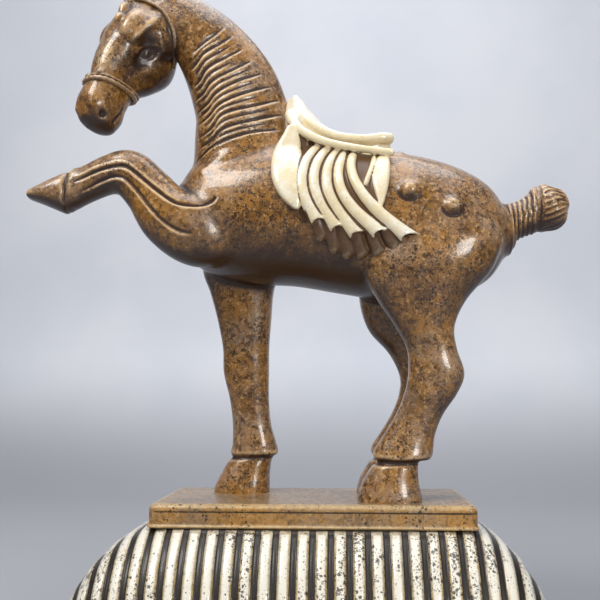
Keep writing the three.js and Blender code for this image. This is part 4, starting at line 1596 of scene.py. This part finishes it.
def skin_group() -> bpy.types.NodeTree:
    """Uneven fired surface: slow waves of the glaze, fine orange peel and pits at the specks.

    Returns:
        Group with a Vector and the speck Mask in, and a Height out.
    """
    tree, g, start, end = group("fired_skin", {"Vector": "Vector", "Mask": "Float"}, {"Height": "Float"})
    waves = g.math("MULTIPLY", g.noise(start["Vector"], 85.0, 2.0), 0.8)
    peel = g.math("MULTIPLY", g.noise(start["Vector"], 620.0, 3.0), 0.32)
    pits = g.math("MULTIPLY", start["Mask"], -0.12)
    g.feed(end["Height"], g.math("ADD", g.math("ADD", waves, peel), pits))
    return tree


@dataclass(frozen=True)
class Glaze:
    """One finish: its colours from body to worn ridge, also used for painted shade and highlights, its specks
    and its gloss.
    """

    name: str
    body: Colour
    warm: Colour
    deep: Colour
    pale: Colour
    speck: Colour
    density: float
    scale: float
    rough: float
    coat: float
    bump: float
    mottle: float

    def build(self, groups: dict[str, bpy.types.NodeTree]) -> bpy.types.Material:
        """Make the material.

        Args:
            groups: Shared node groups by name.

        Returns:
            The material.
        """
        material = bpy.data.materials.new(self.name)
        material.use_nodes = True
        material.node_tree.nodes.clear()
        g = Graph(material.node_tree)
        place = g.add("TexCoord").outputs["Object"]
        hollow = g.add("Attribute", attribute_name="hollow").outputs["Fac"]
        facing = g.add("SeparateXYZ", {0: g.add("NewGeometry").outputs["Normal"]}).outputs["Z"]
        speck = g.add(
            "Group", {"Vector": place, "Density": self.density, "Scale": self.scale},
            node_tree=groups["glaze_speckle"]).outputs["Mask"]
        # Glaze pooling and wear, with painted shade on under-surfaces and a painted sky reflection on upward
        # faces
        pool_and_shade = g.add("Group", {
            "Vector": place, "Hollow": hollow, "Facing": facing, "Mottle": self.mottle,
            "Body": self.body, "Warm": self.warm, "Deep": self.deep, "Pale": self.pale,
        }, node_tree=groups["glaze_pooling_and_painted_light"])
        height = g.add("Group", {"Vector": place, "Mask": speck}, node_tree=groups["fired_skin"])
        colour = g.mix(g.math("MULTIPLY", speck, 0.85), pool_and_shade.outputs["Color"], self.speck)
        rough = g.math("ADD", g.math("MULTIPLY", pool_and_shade.outputs["Pool and shade"], 0.22), self.rough)
        bump = g.add("Bump", {"Height": height.outputs[0], "Distance": 0.0006, "Strength": self.bump})
        coat = g.math("SUBTRACT", self.coat, g.math("MULTIPLY", pool_and_shade.outputs["Pool and shade"], 0.6 * self.coat))
        shader = g.add("BsdfPrincipled", {
            "Base Color": colour, "Roughness": rough, "Normal": bump.outputs[0], "Coat Weight": coat,
            "Coat Roughness": 0.09, "Specular IOR Level": 0.5,
        })
        g.add("OutputMaterial", {0: shader.outputs[0]})
        return material


HORSE_GLAZE = Glaze(
    "antique gold glaze", body=(0.33, 0.215, 0.135, 1), warm=(0.36, 0.165, 0.028, 1),
    deep=(0.034, 0.012, 0.004, 1), pale=(0.72, 0.49, 0.27, 1), speck=(0.022, 0.009, 0.004, 1),
    density=1.35, scale=500.0, rough=0.29, coat=0.38, bump=0.65, mottle=0.84)
SADDLE_GLAZE = Glaze(
    "ivory saddle glaze", body=(0.95, 0.91, 0.79, 1), warm=(0.88, 0.75, 0.48, 1),
    deep=(0.10, 0.046, 0.015, 1), pale=(0.98, 0.96, 0.88, 1), speck=(0.12, 0.06, 0.025, 1),
    density=0.4, scale=430.0, rough=0.24, coat=0.5, bump=0.3, mottle=0.08)
BRIDLE_GLAZE = Glaze(
    "bridle glaze", body=(0.50, 0.35, 0.23, 1), warm=(0.44, 0.26, 0.12, 1),
    deep=(0.016, 0.008, 0.004, 1), pale=(0.82, 0.64, 0.45, 1), speck=(0.016, 0.008, 0.005, 1),
    density=0.9, scale=460.0, rough=0.3, coat=0.4, bump=0.3, mottle=0.35)
PLATE_GLAZE = Glaze(
    "plate glaze", body=(0.33, 0.225, 0.135, 1), warm=(0.46, 0.23, 0.05, 1),
    deep=(0.018, 0.009, 0.004, 1), pale=(0.74, 0.53, 0.25, 1), speck=(0.016, 0.009, 0.006, 1),
    density=1.15, scale=430.0, rough=0.42, coat=0.2, bump=0.45, mottle=0.5)
RIB_GLAZE = Glaze(
    "silvered rib glaze", body=(0.66, 0.58, 0.43, 1), warm=(0.56, 0.40, 0.18, 1),
    deep=(0.010, 0.006, 0.004, 1), pale=(0.88, 0.84, 0.73, 1), speck=(0.02, 0.012, 0.007, 1),
    density=1.6, scale=430.0, rough=0.26, coat=0.5, bump=0.4, mottle=0.45)


@dataclass
class Studio:
    """Camera at the photograph's place, pale floor with a curved back, and soft lights."""

    camera_at: Place = (0.030, -0.644, 0.1878)
    pitch_up: float = math.degrees(math.atan(97 / 824))
    turn_left: float = math.degrees(math.atan(46 / 824))
    lens: float = 36 * 824 / 600

    def camera(self) -> None:
        """Set the camera."""
        data = bpy.data.cameras.new("view")
        data.lens = self.lens
        data.sensor_width = 36
        data.clip_start = 0.01
        camera = bpy.data.objects.new("view", data)
        camera.location = self.camera_at
        camera.rotation_euler = (math.radians(90 + self.pitch_up), 0, math.radians(self.turn_left))
        bpy.context.scene.collection.objects.link(camera)
        bpy.context.scene.camera = camera

    def floor(self) -> bpy.types.Object:
        """Pale floor that curves up into a back wall.

        Returns:
            The stage.
        """
        bend = np.linspace(0, math.pi / 2, 24)
        y = np.concatenate([[-2.4], 0.9 + 0.5 * np.sin(bend), [1.4]])
        z = np.concatenate([[0], 0.5 * (1 - np.cos(bend)), [3.2]])
        x = np.linspace(-3, 3, 9)
        grid = np.stack(np.broadcast_arrays(x[:, None], y, z), axis=-1)
        index = np.arange(len(x) * len(y)).reshape(len(x), len(y))
        quads = np.stack([index[:-1, :-1], index[1:, :-1], index[1:, 1:], index[:-1, 1:]], -1).reshape(-1, 4)
        obj = to_object("stage", Surface(grid.reshape(-1, 3), [tuple(q) for q in quads.tolist()]))
        material = bpy.data.materials.new("stage")
        material.use_nodes = True
        material.node_tree.nodes.clear()
        g = Graph(material.node_tree)
        place = g.add("TexCoord").outputs["Object"]
        tone = g.ramp(g.noise(place, 3.0, 3.0), 0.3, 0.7)
        wall = g.mix(tone, (0.72, 0.75, 0.82, 1), (0.80, 0.82, 0.87, 1))
        rise = g.ramp(g.add("SeparateXYZ", {0: place}).outputs["Z"], 0.0, 0.3)
        colour = g.mix(rise, (0.36, 0.37, 0.40, 1), wall)
        shader = g.add("BsdfPrincipled", {"Base Color": colour, "Roughness": 0.8, "Specular IOR Level": 0.2})
        g.add("OutputMaterial", {0: shader.outputs[0]})
        obj.data.materials.append(material)
        return obj

    def lamp(self, name: str, place: Place, aim: Place, size: float, power: float, colour: Place) -> None:
        """Soft square lamp aimed at a point.

        Args:
            name: Name of the lamp.
            place: Its middle.
            aim: The point that it faces.
            size: Its side.
            power: Its power in watts.
            colour: Its red, green and blue.
        """
        data = bpy.data.lights.new(name, "AREA")
        data.size = size
        data.energy = power
        data.color = colour
        obj = bpy.data.objects.new(name, data)
        obj.location = place
        obj.rotation_euler = (Vector(aim) - Vector(place)).to_track_quat("-Z", "Y").to_euler()
        bpy.context.scene.collection.objects.link(obj)

    def build(self) -> bpy.types.Object:
        """Make the camera, the stage and the lights.

        Returns:
            The stage.
        """
        self.camera()
        self.lamp("key", (-0.75, -0.8, 1.5), (0, 0, 0.3), 0.7, 19, (1.0, 0.97, 0.92))
        self.lamp("sky", (0.1, 0.25, 1.9), (0, 0.1, 0.2), 1.4, 14, (0.97, 0.97, 1.0))
        self.lamp("strip", (0.8, -1.2, 0.55), (0, 0, 0.25), 0.36, 8.5, (1.0, 0.98, 0.94))
        self.lamp("back wall", (0.1, 0.0, 2.7), (0.1, 1.5, 0.9), 2.4, 16.5, (0.95, 0.97, 1.0))
        world = bpy.data.worlds.new("room")
        world.use_nodes = True
        back = world.node_tree.nodes["Background"]
        back.inputs["Color"].default_value = (0.88, 0.92, 1.0, 1)
        back.inputs["Strength"].default_value = 0.16
        bpy.context.scene.world = world
        bpy.context.scene.view_settings.view_transform = "Standard"
        return self.floor()


@dataclass(frozen=True)
class Piece:
    """One finished piece: who builds it, its glaze, the node whose imported parts it hides, and a finish slot.
    """

    builder: Callable[[], bpy.types.Object]
    glaze: Glaze
    node: str
    slot: Slot


def pieces() -> list[Piece]:
    """All pieces in building order.

    Returns:
        The pieces.
    """
    return [
        Piece(Horse().build, HORSE_GLAZE, "horse_on_plate", Slot.GLAZE),
        Piece(Saddle().build, SADDLE_GLAZE, "horse_on_plate", Slot.GLAZE),
        Piece(Bridle().build, BRIDLE_GLAZE, "horse_on_plate", Slot.GLAZE),
        Piece(Plate().build, PLATE_GLAZE, "horse_on_plate", Slot.GLAZE),
        Piece(Pedestal().build, RIB_GLAZE, "ribbed_pedestal", Slot.RIBS),
    ]


def main() -> None:
    """Build every piece in order and report it."""
    logging.basicConfig(level=logging.INFO)
    groups = {tree.name: tree for tree in (speckle_group(), pooling_and_painted_light_group(), skin_group())}
    for piece in pieces():
        obj = piece.builder()
        obj.data.materials.clear()
        obj.data.materials.append(piece.glaze.build(groups))
        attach(obj, "root")
        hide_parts(piece.node)
        LOG.info("%s: %d faces", obj.name, len(obj.data.polygons))
    Studio().build()


if __name__ == "__main__":
    main()
